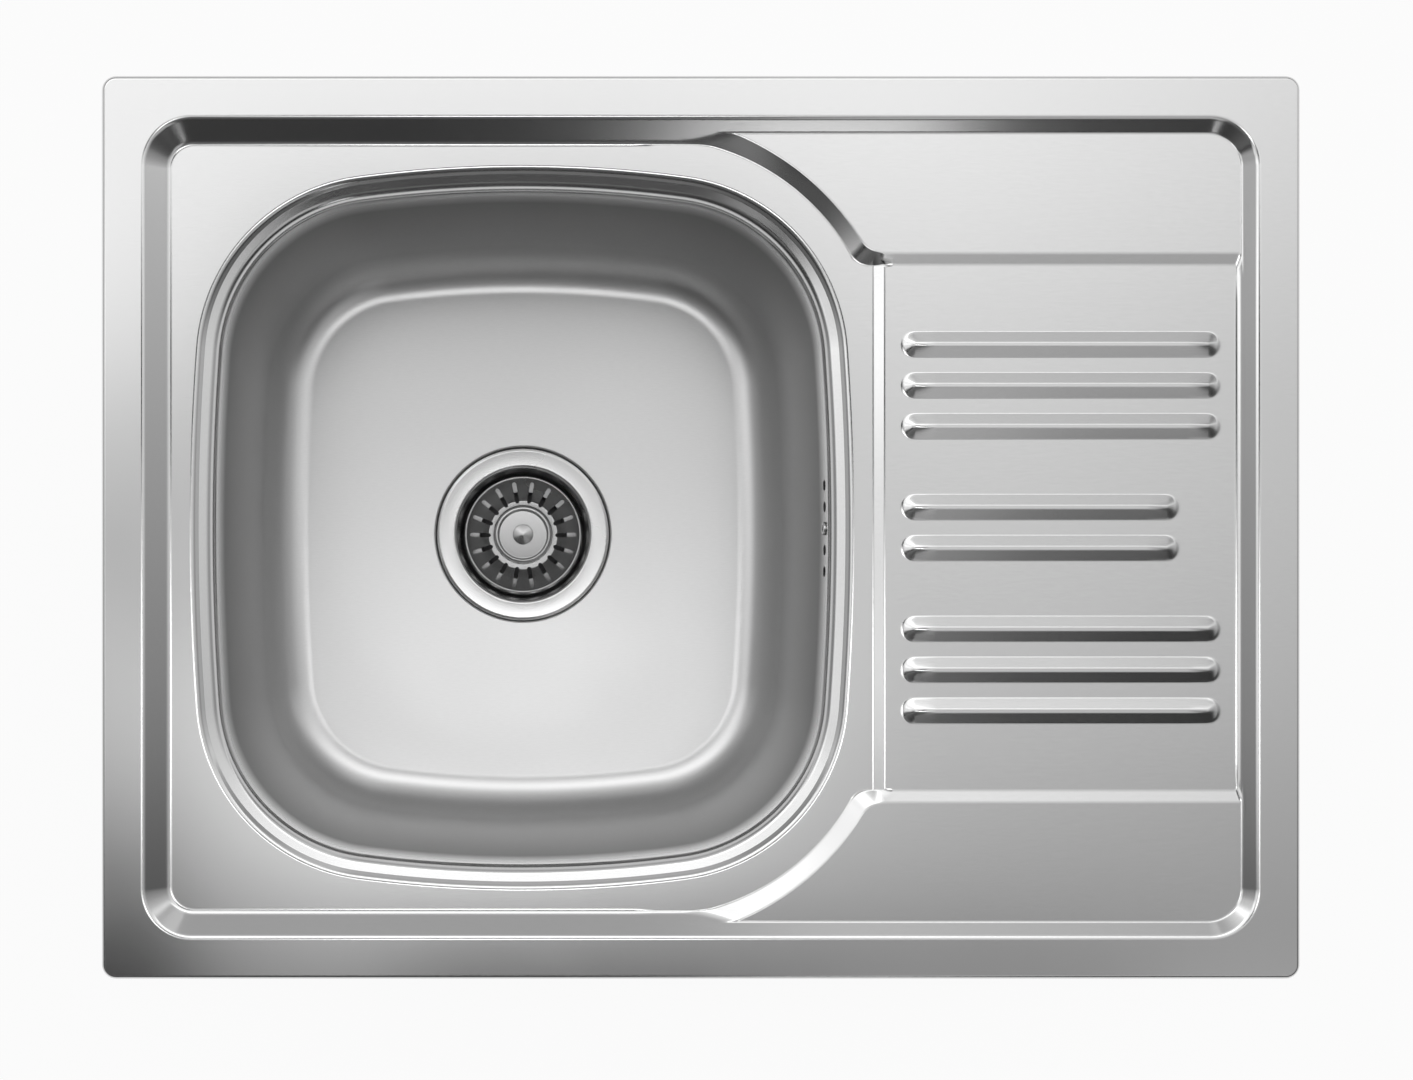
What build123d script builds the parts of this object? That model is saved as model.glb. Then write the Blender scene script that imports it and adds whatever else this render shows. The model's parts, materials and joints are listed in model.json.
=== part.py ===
from build123d import *
import math
import os

# Inset kitchen sink in pressed steel with a drainer, a basket strainer and clips.
# Millimetres. Origin: centre of the rim on the worktop plane. X runs to the
# drainer end, Y to the back, Z up.

# Sheet and rim
SHEET = 0.8
SINK_LENGTH = 650.0
SINK_WIDTH = 490.0
RIM_Z = 5.0
RIM_FLAT = 23.0
RIM_CORNER = 8.0
RIM_EDGE = 2.5
LIP_CLEARANCE = 0.4

# Levels of the pressed top surface
DECK_Z = -3.0
DRAINER_Z = -1.0
WING_Z = 0.2
BOWL_DEPTH = 160.0

# Slope from the rim down to the deck
RIM_SLOPE_RUN = 12.0
POCKET_CORNER = 26.0
RIM_BEND = 4.0

# Bowl outline: four shallow arcs and four corner arcs, at the wall top
BOWL_X = -97.0
BOWL_HALF_X = 168.9
BOWL_HALF_Y = 185.4
BOWL_SIDE_ARC = 1357.0
BOWL_END_ARC = 667.0
BOWL_CORNER = 89.0
BOWL_DRAFT = 2.5
BOWL_FLOOR_FILLET = 26.0
BOWL_ROLL = 7.0

# Ledge round the bowl: a short step down from the deck, then a gentle fall to the wall
LEDGE_STEP_DROP = 2.2
LEDGE_STEP_RUN = 2.8
LEDGE_FALL = 2.5
LEDGE_WIDTH = 8.4

# Drainer, wings and ribs
DRAINER_EDGE_X = 100.5
DRAINER_STEP_RUN = 5.4
DRAINER_HALF_Y = 147.5
WING_EDGE_Y = 149.5
WING_TOP_ARC = 146.3
WING_TOP_X = -36.2
WING_TOP_Y = 79.1
WING_FOOT_ARC = 126.0
WING_FOOT_X = -26.8
WING_FOOT_Y = 86.8
WING_ARC_END = 80.0
WING_CORNER = 16.0
WING_SLOPE = 18.2
WING_ROOT = 4.0
RIB_START_X = 110.4
RIB_LONG = 173.0
RIB_SHORT = 150.5
RIB_WIDTH = 14.2
RIB_CREST = 2.0
RIB_HEIGHT = 2.3
RIB_PITCH = 22.3
RIB_GROUP_Y = 77.5

# Drain
RECESS_RADIUS = 57.8
RECESS_DEPTH = 3.2
RECESS_RUN = 2.2
DRAIN_HOLE = 44.8

# Overflow in the drainer-side wall of the bowl
OVERFLOW_Z = -19.0
OVERFLOW_PITCH = 12.0
OVERFLOW_HOLE = 3.0

# Fits
LOOSE = 0.4
RUNNING = 0.08
GLUE = 0.1

# Rim seal and sound pads
SEAL_INSET = 6.0
SEAL_WIDTH = 9.0
PAD_LENGTH = 150.0
PAD_WIDTH = 52.0
PAD_THICK = 3.0
PAD_Y = 96.0

# Strainer cup
FLANGE_RADIUS = 55.0
CUP_SHEET = 1.0
CUP_RADIUS = 42.6
CUP_DRAFT_RUN = 1.4
CUP_DEPTH = 34.0
CUP_ROLL = 2.6
CUP_FLOOR = 1.2
CUP_FLOOR_ROLL = 4.0
CUP_PORT_INNER = 12.0
CUP_PORT_OUTER = 23.0
CUP_PORTS = 6
CUP_PORT_ANGLE = 42.0
CUP_GASKET = 1.0

# Waste body below the bowl
BODY_GASKET = 3.0
BODY_FLANGE_RADIUS = 57.0
BODY_FLANGE = 4.0
BODY_RADIUS = 49.0
BODY_WALL = 3.4
BODY_CHAMBER = 44.0
BODY_FUNNEL = 14.0
OUTLET_RADIUS = 23.9
OUTLET_BORE = 19.5
OUTLET_LENGTH = 24.0
BOSS_RADIUS = 11.0
BOSS_LENGTH = 20.0
SPOKE = 4.0
SPOKES = 3

# Centre screw and its insert
SCREW_RADIUS = 6.0
SCREW_HEAD = 9.0
SCREW_HEAD_HEIGHT = 4.0
SCREW_LENGTH = 18.0
SOCKET_DEPTH = 15.0
INSERT_RADIUS = 8.0
INSERT_LENGTH = 14.0

# Plug: spindle, knob and seal
SPINDLE_RADIUS = 4.0
SPINDLE_TIP = 9.0
SEAL_RADIUS = 29.0
SEAL_LIP = 4.5
SEAL_CAVITY = 6.0
SEAL_TOP = 9.0
KNOB_RADIUS = 19.2
KNOB_EDGE = 2.6
KNOB_DISH = 1.0
KNOB_DISH_RADIUS = 16.4
KNOB_TOP = 29.0
KNOB_THICK = 6.0
KNOB_HUB = 9.0
BUTTON_RADIUS = 6.6
BUTTON_TIP = 2.0
BUTTON_HEIGHT = 3.4
WASHER_RADIUS = 9.0
WASHER_THICK = 1.0
RING_SECTION = 0.7

# Basket
BASKET_SHEET = 0.8
BASKET_FLOOR_GAP = 0.3
BASKET_FLOOR_RADIUS = 23.5
BASKET_RIM_RADIUS = 37.6
BASKET_HEIGHT = 15.5
BASKET_BEAD = 0.9
BASKET_SLOTS = 18
BASKET_SLOT = 2.7
BASKET_SLOT_INNER = 21.2
BASKET_SLOT_OUTER = 34.6

# Overflow housing and pipe
HOUSING_GASKET = 4.6
HOUSING_SEAT = 3.5
HOUSING_DROP = 15.0
HOUSING_LENGTH = 72.0
HOUSING_HEIGHT = 44.0
HOUSING_DEPTH = 30.0
HOUSING_WALL = 2.5
HOUSING_CORNER = 9.0
POST_RADIUS = 5.5
OVERFLOW_SCREW = 2.4
OVERFLOW_SCREW_HEAD = 3.8
OVERFLOW_SCREW_HEIGHT = 1.0
OVERFLOW_SCREW_SOCKET = 2.2
OVERFLOW_SCREW_LENGTH = 24.0
PIPE_RADIUS = 9.0
PIPE_BORE = 7.5
PIPE_BEND = 40.0
SPIGOT_RADIUS = 12.0
SPIGOT_LENGTH = 20.0
PIPE_INSERT = 12.0
PORT_Z = -184.0
PORT_REACH = 24.0
UNION_RADIUS = 15.5
UNION_LENGTH = 15.0
UNION_END = 3.0
UNION_RIBS = 12
UNION_WASHER = 3.0

# Clips
CLIP_X = (-250.0, -20.0, 250.0)
CLIP_Y = 203.0
BRACKET_LENGTH = 26.0
BRACKET_WIDTH = 14.0
BRACKET_HEIGHT = 9.0
BRACKET_SHEET = 1.5
BOLT_RADIUS = 3.0
BOLT_FLATS = 10.0
BOLT_HEAD = 4.0
BOLT_LENGTH = 63.0
NUT_DROP = 56.0
NUT_FLATS = 10.0
NUT_HEIGHT = 6.0
NUT_FLANGE = 8.0
NUT_FLANGE_THICK = 1.5
ARM_LENGTH = 39.0
ARM_WIDTH = 14.0
ARM_SHEET = 2.0
ARM_CLAW = 6.0

# Derived levels
BOWL_FLOOR_Z = RIM_Z - BOWL_DEPTH
HOUSING_Z = OVERFLOW_Z - HOUSING_DROP
LEDGE_Z = DECK_Z - LEDGE_STEP_DROP
WALL_TOP_Z = LEDGE_Z - LEDGE_FALL
RECESS_Z = BOWL_FLOOR_Z - RECESS_DEPTH
FLANGE_Z = RECESS_Z + CUP_GASKET + CUP_SHEET
CUP_FLOOR_Z = FLANGE_Z - CUP_DEPTH
BODY_TOP_Z = RECESS_Z - SHEET - BODY_GASKET
BODY_LOW_Z = BODY_TOP_Z - BODY_CHAMBER
FUNNEL_LOW_Z = BODY_LOW_Z - BODY_FUNNEL
OUTLET_Z = FUNNEL_LOW_Z - OUTLET_LENGTH
BOSS_TOP_Z = CUP_FLOOR_Z - CUP_FLOOR - LOOSE
BASKET_Z = CUP_FLOOR_Z + SEAL_TOP + WASHER_THICK + BASKET_FLOOR_GAP
KNOB_TOP_Z = CUP_FLOOR_Z + KNOB_TOP
HUB_LOW_Z = BASKET_Z + BASKET_SHEET + BASKET_FLOOR_GAP
HOUSING_X = BOWL_X + BOWL_HALF_X + HOUSING_GASKET
PIPE_X = HOUSING_X + UNION_RADIUS + LOOSE


def at_height(face, z):
    return Pos(0, 0, z) * face


def ring(outer, inner, low, high):
    body = Cylinder(outer, high - low, align=(Align.CENTER, Align.CENTER, Align.MIN))
    hole = Cylinder(inner, high - low, align=(Align.CENTER, Align.CENTER, Align.MIN))
    return Pos(0, 0, low) * (body - hole)


def turned(points):
    """Solid of revolution about Z from (radius, height) points."""
    profile = Plane.XZ * make_face(Polyline(*points, close=True))
    return revolve(profile, Axis.Z)


def bowl_outline(grow):
    """Face of the bowl outline, grown outward by the given distance."""
    side_centre = (BOWL_HALF_X - BOWL_SIDE_ARC, 0.0)
    end_centre = (0.0, BOWL_HALF_Y - BOWL_END_ARC)
    side_reach = BOWL_SIDE_ARC - BOWL_CORNER
    end_reach = BOWL_END_ARC - BOWL_CORNER
    dx = end_centre[0] - side_centre[0]
    dy = end_centre[1] - side_centre[1]
    span = math.hypot(dx, dy)
    along = (span**2 + side_reach**2 - end_reach**2) / (2 * span)
    across = math.sqrt(side_reach**2 - along**2)
    corner_x = side_centre[0] + (dx * along - dy * across) / span
    corner_y = side_centre[1] + (dy * along + dx * across) / span
    side_angle = math.degrees(math.atan2(corner_y, corner_x - side_centre[0]))
    end_angle = math.degrees(math.atan2(corner_y - end_centre[1], corner_x))
    side = BOWL_SIDE_ARC + grow
    end = BOWL_END_ARC + grow
    corner = BOWL_CORNER + grow
    turn = end_angle - side_angle
    flare = 90 - end_angle
    edges = [
        CenterArc(side_centre, side, -side_angle, 2 * side_angle),
        CenterArc((corner_x, corner_y), corner, side_angle, turn),
        CenterArc(end_centre, end, end_angle, 2 * flare),
        CenterArc((-corner_x, corner_y), corner, 90 + flare, turn),
        CenterArc((-side_centre[0], 0), side, 180 - side_angle, 2 * side_angle),
        CenterArc((-corner_x, -corner_y), corner, 180 + side_angle, turn),
        CenterArc((0, -end_centre[1]), end, 270 - flare, 2 * flare),
        CenterArc((corner_x, -corner_y), corner, 270 + flare, turn),
    ]
    return Pos(BOWL_X, 0) * make_face(edges)


def bowl_cavity(skin):
    """Space inside the bowl, grown by the sheet thickness for the underside."""
    top = DECK_Z + 1.0
    slope = math.tan(math.radians(BOWL_DRAFT))
    grow = (top - WALL_TOP_Z) * slope + skin / math.cos(math.radians(BOWL_DRAFT))
    floor = BOWL_FLOOR_Z - skin
    space = extrude(at_height(bowl_outline(grow), top), top - floor, dir=(0, 0, -1), taper=BOWL_DRAFT)
    low = space.edges().group_by(Axis.Z)[0]
    return fillet(low, BOWL_FLOOR_FILLET + skin)


def rim_pocket(skin):
    drop = RIM_Z - DECK_Z
    run = RIM_SLOPE_RUN / drop
    skin_shift = skin / math.sin(math.atan2(drop, RIM_SLOPE_RUN))
    faces = []
    for z in (DECK_Z - skin, RIM_Z + 3.0):
        grow = (z - RIM_Z) * run + skin_shift
        length = SINK_LENGTH - 2 * RIM_FLAT + 2 * grow
        width = SINK_WIDTH - 2 * RIM_FLAT + 2 * grow
        faces.append(at_height(RectangleRounded(length, width, POCKET_CORNER + grow), z))
    return loft(faces, ruled=True)


def ledge_pocket(skin):
    """Space over the ledge: inside the step from the deck and above the falling ledge."""
    step_run = LEDGE_STEP_RUN / LEDGE_STEP_DROP
    step_shift = skin / math.sin(math.atan2(LEDGE_STEP_DROP, LEDGE_STEP_RUN))
    fall_run = LEDGE_WIDTH / LEDGE_FALL
    fall_shift = skin / math.cos(math.atan2(LEDGE_FALL, LEDGE_WIDTH))
    top = DECK_Z + 1.0
    low = WALL_TOP_Z - 1.0 - fall_shift
    step_faces = []
    fall_faces = []
    for z in (low, top):
        step_grow = LEDGE_WIDTH + (z - LEDGE_Z) * step_run + step_shift
        fall_grow = LEDGE_WIDTH + (z + fall_shift - LEDGE_Z) * fall_run
        step_faces.append(at_height(bowl_outline(step_grow), z))
        fall_faces.append(at_height(bowl_outline(fall_grow), z))
    return loft(step_faces, ruled=True) & loft(fall_faces, ruled=True)


def drainer_step(skin):
    drop = DRAINER_Z - DECK_Z
    run = DRAINER_STEP_RUN / drop
    shift = skin / math.sin(math.atan2(drop, DRAINER_STEP_RUN))
    top = DRAINER_Z - skin
    low = DECK_Z - 4.0
    far = SINK_LENGTH / 2 - RIM_FLAT + RIM_CORNER
    near_top = DRAINER_EDGE_X - (DRAINER_Z - top) * run + shift
    near_low = DRAINER_EDGE_X - (DRAINER_Z - low) * run + shift
    side = Plane.XZ * make_face(Polyline((near_top, top), (near_low, low), (far, low), (far, top), close=True))
    return extrude(side, DRAINER_HALF_Y, both=True)


def wing_outline(z, shift):
    """Face of the raised wing at the back at a height, drawn in by a shift."""
    far_x = SINK_LENGTH / 2 - RIM_FLAT + RIM_CORNER
    far_y = SINK_WIDTH / 2 - RIM_FLAT + RIM_CORNER
    share = (WING_Z - z) / (WING_Z - DECK_Z)
    grow = (WING_Z - z) / math.tan(math.radians(WING_SLOPE)) - shift
    arc = WING_TOP_ARC + share * (WING_FOOT_ARC - WING_TOP_ARC) + shift
    top_centre = Vector(WING_TOP_X, WING_TOP_Y)
    centre = top_centre + share * (Vector(WING_FOOT_X, WING_FOOT_Y) - top_centre)
    edge_y = WING_EDGE_Y - grow
    corner = WING_CORNER + grow
    rise = edge_y + corner - centre.Y
    round_centre = Vector(centre.X + math.sqrt((arc + corner) ** 2 - rise**2), edge_y + corner)
    toward = (round_centre - centre).normalized()
    start = math.degrees(math.atan2(toward.Y, toward.X))
    end = math.radians(WING_ARC_END)
    tip = centre + Vector(math.cos(end), math.sin(end)) * arc
    edges = [
        Line((far_x, edge_y), (round_centre.X, edge_y)),
        CenterArc(round_centre, corner, 270, start - 90),
        CenterArc(centre, arc, start, WING_ARC_END - start),
        Line(tip, (tip.X, far_y)),
        Line((tip.X, far_y), (far_x, far_y)),
        Line((far_x, far_y), (far_x, edge_y)),
    ]
    return make_face(edges)


def wing(skin):
    shift = skin / math.sin(math.radians(WING_SLOPE))
    faces = [at_height(wing_outline(z, shift), z) for z in (DECK_Z - WING_ROOT, WING_Z - skin)]
    return loft(faces, ruled=True)


def rib(length, y, skin):
    run = (RIB_WIDTH - RIB_CREST) / 2 / RIB_HEIGHT
    shift = skin / math.sin(math.atan2(1, run))
    centre = Pos(RIB_START_X + length / 2, y)
    faces = []
    for z in (DRAINER_Z - 1.5, DRAINER_Z + RIB_HEIGHT - skin):
        shrink = (z - DRAINER_Z) * run + shift
        faces.append(at_height(centre * SlotOverall(length - 2 * shrink, RIB_WIDTH - 2 * shrink), z))
    return loft(faces, ruled=True)


def rib_rows():
    rows = [(RIB_SHORT, RIB_PITCH / 2), (RIB_SHORT, -RIB_PITCH / 2)]
    for group in (-RIB_GROUP_Y, RIB_GROUP_Y):
        for k in (-1, 0, 1):
            rows.append((RIB_LONG, group + k * RIB_PITCH))
    return rows


def drain_recess(skin):
    run = RECESS_RUN / RECESS_DEPTH
    shift = skin / math.sin(math.atan2(RECESS_DEPTH, RECESS_RUN))
    top = BOWL_FLOOR_Z + 2.0
    low = RECESS_Z - skin
    top_radius = RECESS_RADIUS + 2.0 * run + shift
    low_radius = RECESS_RADIUS + (low - BOWL_FLOOR_Z) * run + shift
    return Pos(BOWL_X, 0) * turned([(0, low), (low_radius, low), (top_radius, top), (0, top)])


def pressed_core(skin):
    """Everything below the pressed surface, set in by the given distance."""
    low = BOWL_FLOOR_Z - 30.0 - 10.0 * skin
    outline = RectangleRounded(SINK_LENGTH - 2 * skin, SINK_WIDTH - 2 * skin, RIM_CORNER - skin)
    core = extrude(at_height(outline, low), RIM_Z - skin - low)
    core = fillet(core.edges().group_by(Axis.Z)[-1], RIM_EDGE - skin)
    core -= rim_pocket(skin)
    rim_top = core.faces().sort_by(Axis.Z)[-1]
    core = fillet(rim_top.inner_wires()[0].edges(), RIM_BEND - skin)
    core += drainer_step(skin)
    core += wing(skin)
    core += mirror(wing(skin), about=Plane.XZ)
    for length, y in rib_rows():
        core += rib(length, y, skin)
    core -= ledge_pocket(skin)
    core -= bowl_cavity(skin)
    inside = bowl_outline(LEDGE_WIDTH / 2)
    edges = ShapeList()
    for edge in core.edges():
        middle = edge.position_at(0.5)
        box = edge.bounding_box()
        level = box.size.Z < 0.01 and abs(middle.Z - WALL_TOP_Z) < 2 * SHEET
        if level and inside.face().is_inside((middle.X, middle.Y, 0)):
            edges.append(edge)
    core = fillet(edges, BOWL_ROLL - skin)
    core -= drain_recess(skin)
    return core


def sink_pressing():
    sheet = pressed_core(0) - pressed_core(SHEET)
    lip = Pos(0, 0, LIP_CLEARANCE) * Box(
        SINK_LENGTH + 10, SINK_WIDTH + 10, 300, align=(Align.CENTER, Align.CENTER, Align.MAX)
    )
    lip -= Box(SINK_LENGTH - 2 * RIM_EDGE - 4, SINK_WIDTH - 2 * RIM_EDGE - 4, 800)
    sheet -= lip
    sheet -= Pos(BOWL_X, 0, RECESS_Z) * Cylinder(DRAIN_HOLE, 20)
    for k in (-2, -1, 1, 2):
        hole = Rot(0, 90, 0) * Cylinder(OVERFLOW_HOLE, 30)
        sheet -= Pos(BOWL_X + BOWL_HALF_X, k * OVERFLOW_PITCH, OVERFLOW_Z) * hole
    screw_way = Rot(0, 90, 0) * Cylinder(OVERFLOW_SCREW + LOOSE, 30)
    sheet -= Pos(BOWL_X + BOWL_HALF_X, 0, OVERFLOW_Z) * screw_way
    return sheet


def rim_seal():
    height = RIM_Z - SHEET
    outer = RectangleRounded(SINK_LENGTH - 2 * SEAL_INSET, SINK_WIDTH - 2 * SEAL_INSET, RIM_CORNER)
    shrink = 2 * SEAL_INSET + 2 * SEAL_WIDTH
    inner = RectangleRounded(SINK_LENGTH - shrink, SINK_WIDTH - shrink, RIM_CORNER / 2)
    return extrude(outer - inner, height)


def sound_pads():
    pad = extrude(RectangleRounded(PAD_LENGTH, PAD_WIDTH, RIM_CORNER), PAD_THICK)
    low = BOWL_FLOOR_Z - SHEET - PAD_THICK
    return [Pos(BOWL_X, side * PAD_Y, low) * pad for side in (-1, 1)]


def strainer_cup():
    low_radius = CUP_RADIUS - CUP_DRAFT_RUN
    hole = SCREW_RADIUS + LOOSE
    under_z = CUP_FLOOR_Z - CUP_FLOOR
    points = [
        (FLANGE_RADIUS, FLANGE_Z),
        (CUP_RADIUS, FLANGE_Z),
        (low_radius, CUP_FLOOR_Z),
        (hole, CUP_FLOOR_Z),
        (hole, under_z),
        (low_radius + CUP_SHEET, under_z),
        (CUP_RADIUS + CUP_SHEET, FLANGE_Z - CUP_SHEET),
        (FLANGE_RADIUS, FLANGE_Z - CUP_SHEET),
    ]
    rounds = {
        1: CUP_ROLL,
        2: CUP_FLOOR_ROLL,
        5: CUP_FLOOR_ROLL + CUP_SHEET,
        6: CUP_ROLL - CUP_SHEET,
    }
    profile = make_face(Polyline(*points, close=True))
    for index, radius in rounds.items():
        corner = profile.vertices().sort_by_distance((points[index][0], points[index][1], 0))[0]
        profile = fillet(corner, radius)
    cup = revolve(Plane.XZ * profile, Axis.Z)
    for k in range(CUP_PORTS):
        start = k * 360 / CUP_PORTS - CUP_PORT_ANGLE / 2
        outer = CenterArc((0, 0), CUP_PORT_OUTER, start, CUP_PORT_ANGLE)
        inner = CenterArc((0, 0), CUP_PORT_INNER, start, CUP_PORT_ANGLE)
        port = make_face([outer, Line(outer @ 1, inner @ 1), inner, Line(inner @ 0, outer @ 0)])
        cup -= extrude(at_height(port, under_z - 1), CUP_FLOOR + 2)
    return Pos(BOWL_X, 0) * cup


def cup_gasket():
    seat = ring(FLANGE_RADIUS - 1, DRAIN_HOLE + 2 * LOOSE, RECESS_Z, RECESS_Z + CUP_GASKET)
    return Pos(BOWL_X, 0) * seat


def body_gasket():
    outer = RECESS_RADIUS - RECESS_RUN - LOOSE
    return Pos(BOWL_X, 0) * ring(outer, DRAIN_HOLE + LOOSE, BODY_TOP_Z, BODY_TOP_Z + BODY_GASKET)


def spigot_bore(end_gap):
    """Stepped hole for a pipe end, opening at the origin and running toward -Z."""
    socket = Cylinder(PIPE_RADIUS + GLUE, PIPE_INSERT, align=(Align.CENTER, Align.CENTER, Align.MAX))
    way = Cylinder(PIPE_BORE, end_gap, align=(Align.CENTER, Align.CENTER, Align.MAX))
    return socket + way


def waste_body():
    inner = BODY_RADIUS - BODY_WALL
    step = BODY_WALL / 2
    shell = turned(
        [
            (inner, BODY_TOP_Z),
            (BODY_FLANGE_RADIUS, BODY_TOP_Z),
            (BODY_FLANGE_RADIUS, BODY_TOP_Z - BODY_FLANGE),
            (BODY_RADIUS, BODY_TOP_Z - BODY_FLANGE),
            (BODY_RADIUS, BODY_LOW_Z),
            (inner, BODY_LOW_Z),
        ]
    )
    boss = Pos(0, 0, BOSS_TOP_Z) * Cylinder(
        BOSS_RADIUS, BOSS_LENGTH, align=(Align.CENTER, Align.CENTER, Align.MAX)
    )
    spoke_height = BOSS_TOP_Z - BODY_LOW_Z - step
    for k in range(SPOKES):
        reach = inner + step
        spoke = Pos(reach / 2, 0, BOSS_TOP_Z - spoke_height / 2) * Box(reach, SPOKE, spoke_height)
        boss += Rot(0, 0, 60 + k * 360 / SPOKES) * spoke
    body = shell + boss
    port_end = BODY_RADIUS + PORT_REACH
    port_length = port_end - inner - step
    port = Pos(0, 0, -port_length / 2) * Cylinder(SPIGOT_RADIUS, port_length)
    place = Pos(port_end, 0, PORT_Z) * Rot(0, 90, 0)
    body += place * port
    body -= place * spigot_bore(port_length + 2 * BODY_WALL)
    top = (Align.CENTER, Align.CENTER, Align.MAX)
    body -= Pos(0, 0, BOSS_TOP_Z) * Cylinder(INSERT_RADIUS + GLUE, INSERT_LENGTH, align=top)
    body -= Pos(0, 0, BOSS_TOP_Z) * Cylinder(SCREW_RADIUS + LOOSE, BOSS_LENGTH + 1, align=top)
    return Pos(BOWL_X, 0) * body


def waste_funnel():
    """Funnel and threaded outlet, welded to the open end of the waste body."""
    step = BODY_WALL / 2
    funnel = turned(
        [
            (BODY_RADIUS - BODY_WALL, BODY_LOW_Z),
            (BODY_RADIUS, BODY_LOW_Z),
            (BODY_RADIUS, BODY_LOW_Z - step),
            (OUTLET_RADIUS, FUNNEL_LOW_Z),
            (OUTLET_RADIUS, OUTLET_Z),
            (OUTLET_BORE, OUTLET_Z),
            (OUTLET_BORE, FUNNEL_LOW_Z + step),
        ]
    )
    return Pos(BOWL_X, 0) * funnel


def screw_insert():
    low = BOSS_TOP_Z - INSERT_LENGTH
    return Pos(BOWL_X, 0) * ring(INSERT_RADIUS, SCREW_RADIUS + RUNNING, low, BOSS_TOP_Z)


def centre_screw():
    head_z = CUP_FLOOR_Z + SCREW_HEAD_HEIGHT
    head = ring(SCREW_HEAD, SPINDLE_RADIUS + RUNNING, CUP_FLOOR_Z, head_z)
    head = chamfer(head.edges().group_by(Axis.Z)[-1].sort_by(SortBy.LENGTH)[-1], 1)
    shank = Pos(0, 0, CUP_FLOOR_Z) * Cylinder(
        SCREW_RADIUS, SCREW_LENGTH, align=(Align.CENTER, Align.CENTER, Align.MAX)
    )
    socket = Pos(0, 0, head_z) * Cylinder(
        SPINDLE_RADIUS + RUNNING, SOCKET_DEPTH, align=(Align.CENTER, Align.CENTER, Align.MAX)
    )
    return Pos(BOWL_X, 0) * (head + shank - socket)


def spindle():
    low = CUP_FLOOR_Z + SCREW_HEAD_HEIGHT - SPINDLE_TIP
    dish_z = KNOB_TOP_Z - KNOB_DISH
    collar_z = CUP_FLOOR_Z + SEAL_CAVITY
    collar = SCREW_RADIUS + 1
    pin = turned(
        [
            (0, low),
            (SPINDLE_RADIUS - 1, low),
            (SPINDLE_RADIUS, low + 1),
            (SPINDLE_RADIUS, collar_z - 1.4),
            (collar, collar_z - 1.4),
            (collar, collar_z),
            (SPINDLE_RADIUS, collar_z),
            (SPINDLE_RADIUS, dish_z),
            (BUTTON_RADIUS, dish_z),
            (BUTTON_RADIUS, dish_z + 1),
            (BUTTON_TIP, dish_z + BUTTON_HEIGHT),
            (0, dish_z + BUTTON_HEIGHT),
        ]
    )
    groove = Torus(SPINDLE_RADIUS - RING_SECTION, RING_SECTION + GLUE / 2)
    return Pos(BOWL_X, 0) * (pin - Pos(0, 0, low + 3) * groove)


def friction_ring():
    low = CUP_FLOOR_Z + SCREW_HEAD_HEIGHT - SPINDLE_TIP
    return Pos(BOWL_X, 0, low + 3) * Torus(SPINDLE_RADIUS - RING_SECTION, RING_SECTION)


def plug_seal():
    z = CUP_FLOOR_Z
    hole = SPINDLE_RADIUS + RUNNING
    seal = turned(
        [
            (SEAL_RADIUS - SEAL_LIP, z),
            (SEAL_RADIUS, z),
            (SEAL_RADIUS, z + SEAL_TOP / 3),
            (SEAL_RADIUS - SEAL_LIP / 2, z + SEAL_TOP),
            (hole, z + SEAL_TOP),
            (hole, z + SEAL_CAVITY),
            (SEAL_RADIUS - SEAL_LIP, z + SEAL_CAVITY),
        ]
    )
    return Pos(BOWL_X, 0) * seal


def seal_washer():
    low = CUP_FLOOR_Z + SEAL_TOP
    return Pos(BOWL_X, 0) * ring(WASHER_RADIUS, SPINDLE_RADIUS + RUNNING, low, low + WASHER_THICK)


def plug_knob():
    hole = SPINDLE_RADIUS + RUNNING
    low = KNOB_TOP_Z - KNOB_THICK
    points = [
        (hole, HUB_LOW_Z),
        (KNOB_HUB, HUB_LOW_Z),
        (KNOB_HUB, low),
        (KNOB_RADIUS, low),
        (KNOB_RADIUS, KNOB_TOP_Z),
        (KNOB_DISH_RADIUS, KNOB_TOP_Z),
        (KNOB_DISH_RADIUS - KNOB_DISH, KNOB_TOP_Z - KNOB_DISH),
        (hole, KNOB_TOP_Z - KNOB_DISH),
    ]
    profile = make_face(Polyline(*points, close=True))
    for index, radius in ((3, KNOB_EDGE), (4, KNOB_EDGE)):
        corner = profile.vertices().sort_by_distance((points[index][0], points[index][1], 0))[0]
        profile = fillet(corner, radius)
    return Pos(BOWL_X, 0) * revolve(Plane.XZ * profile, Axis.Z)


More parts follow.
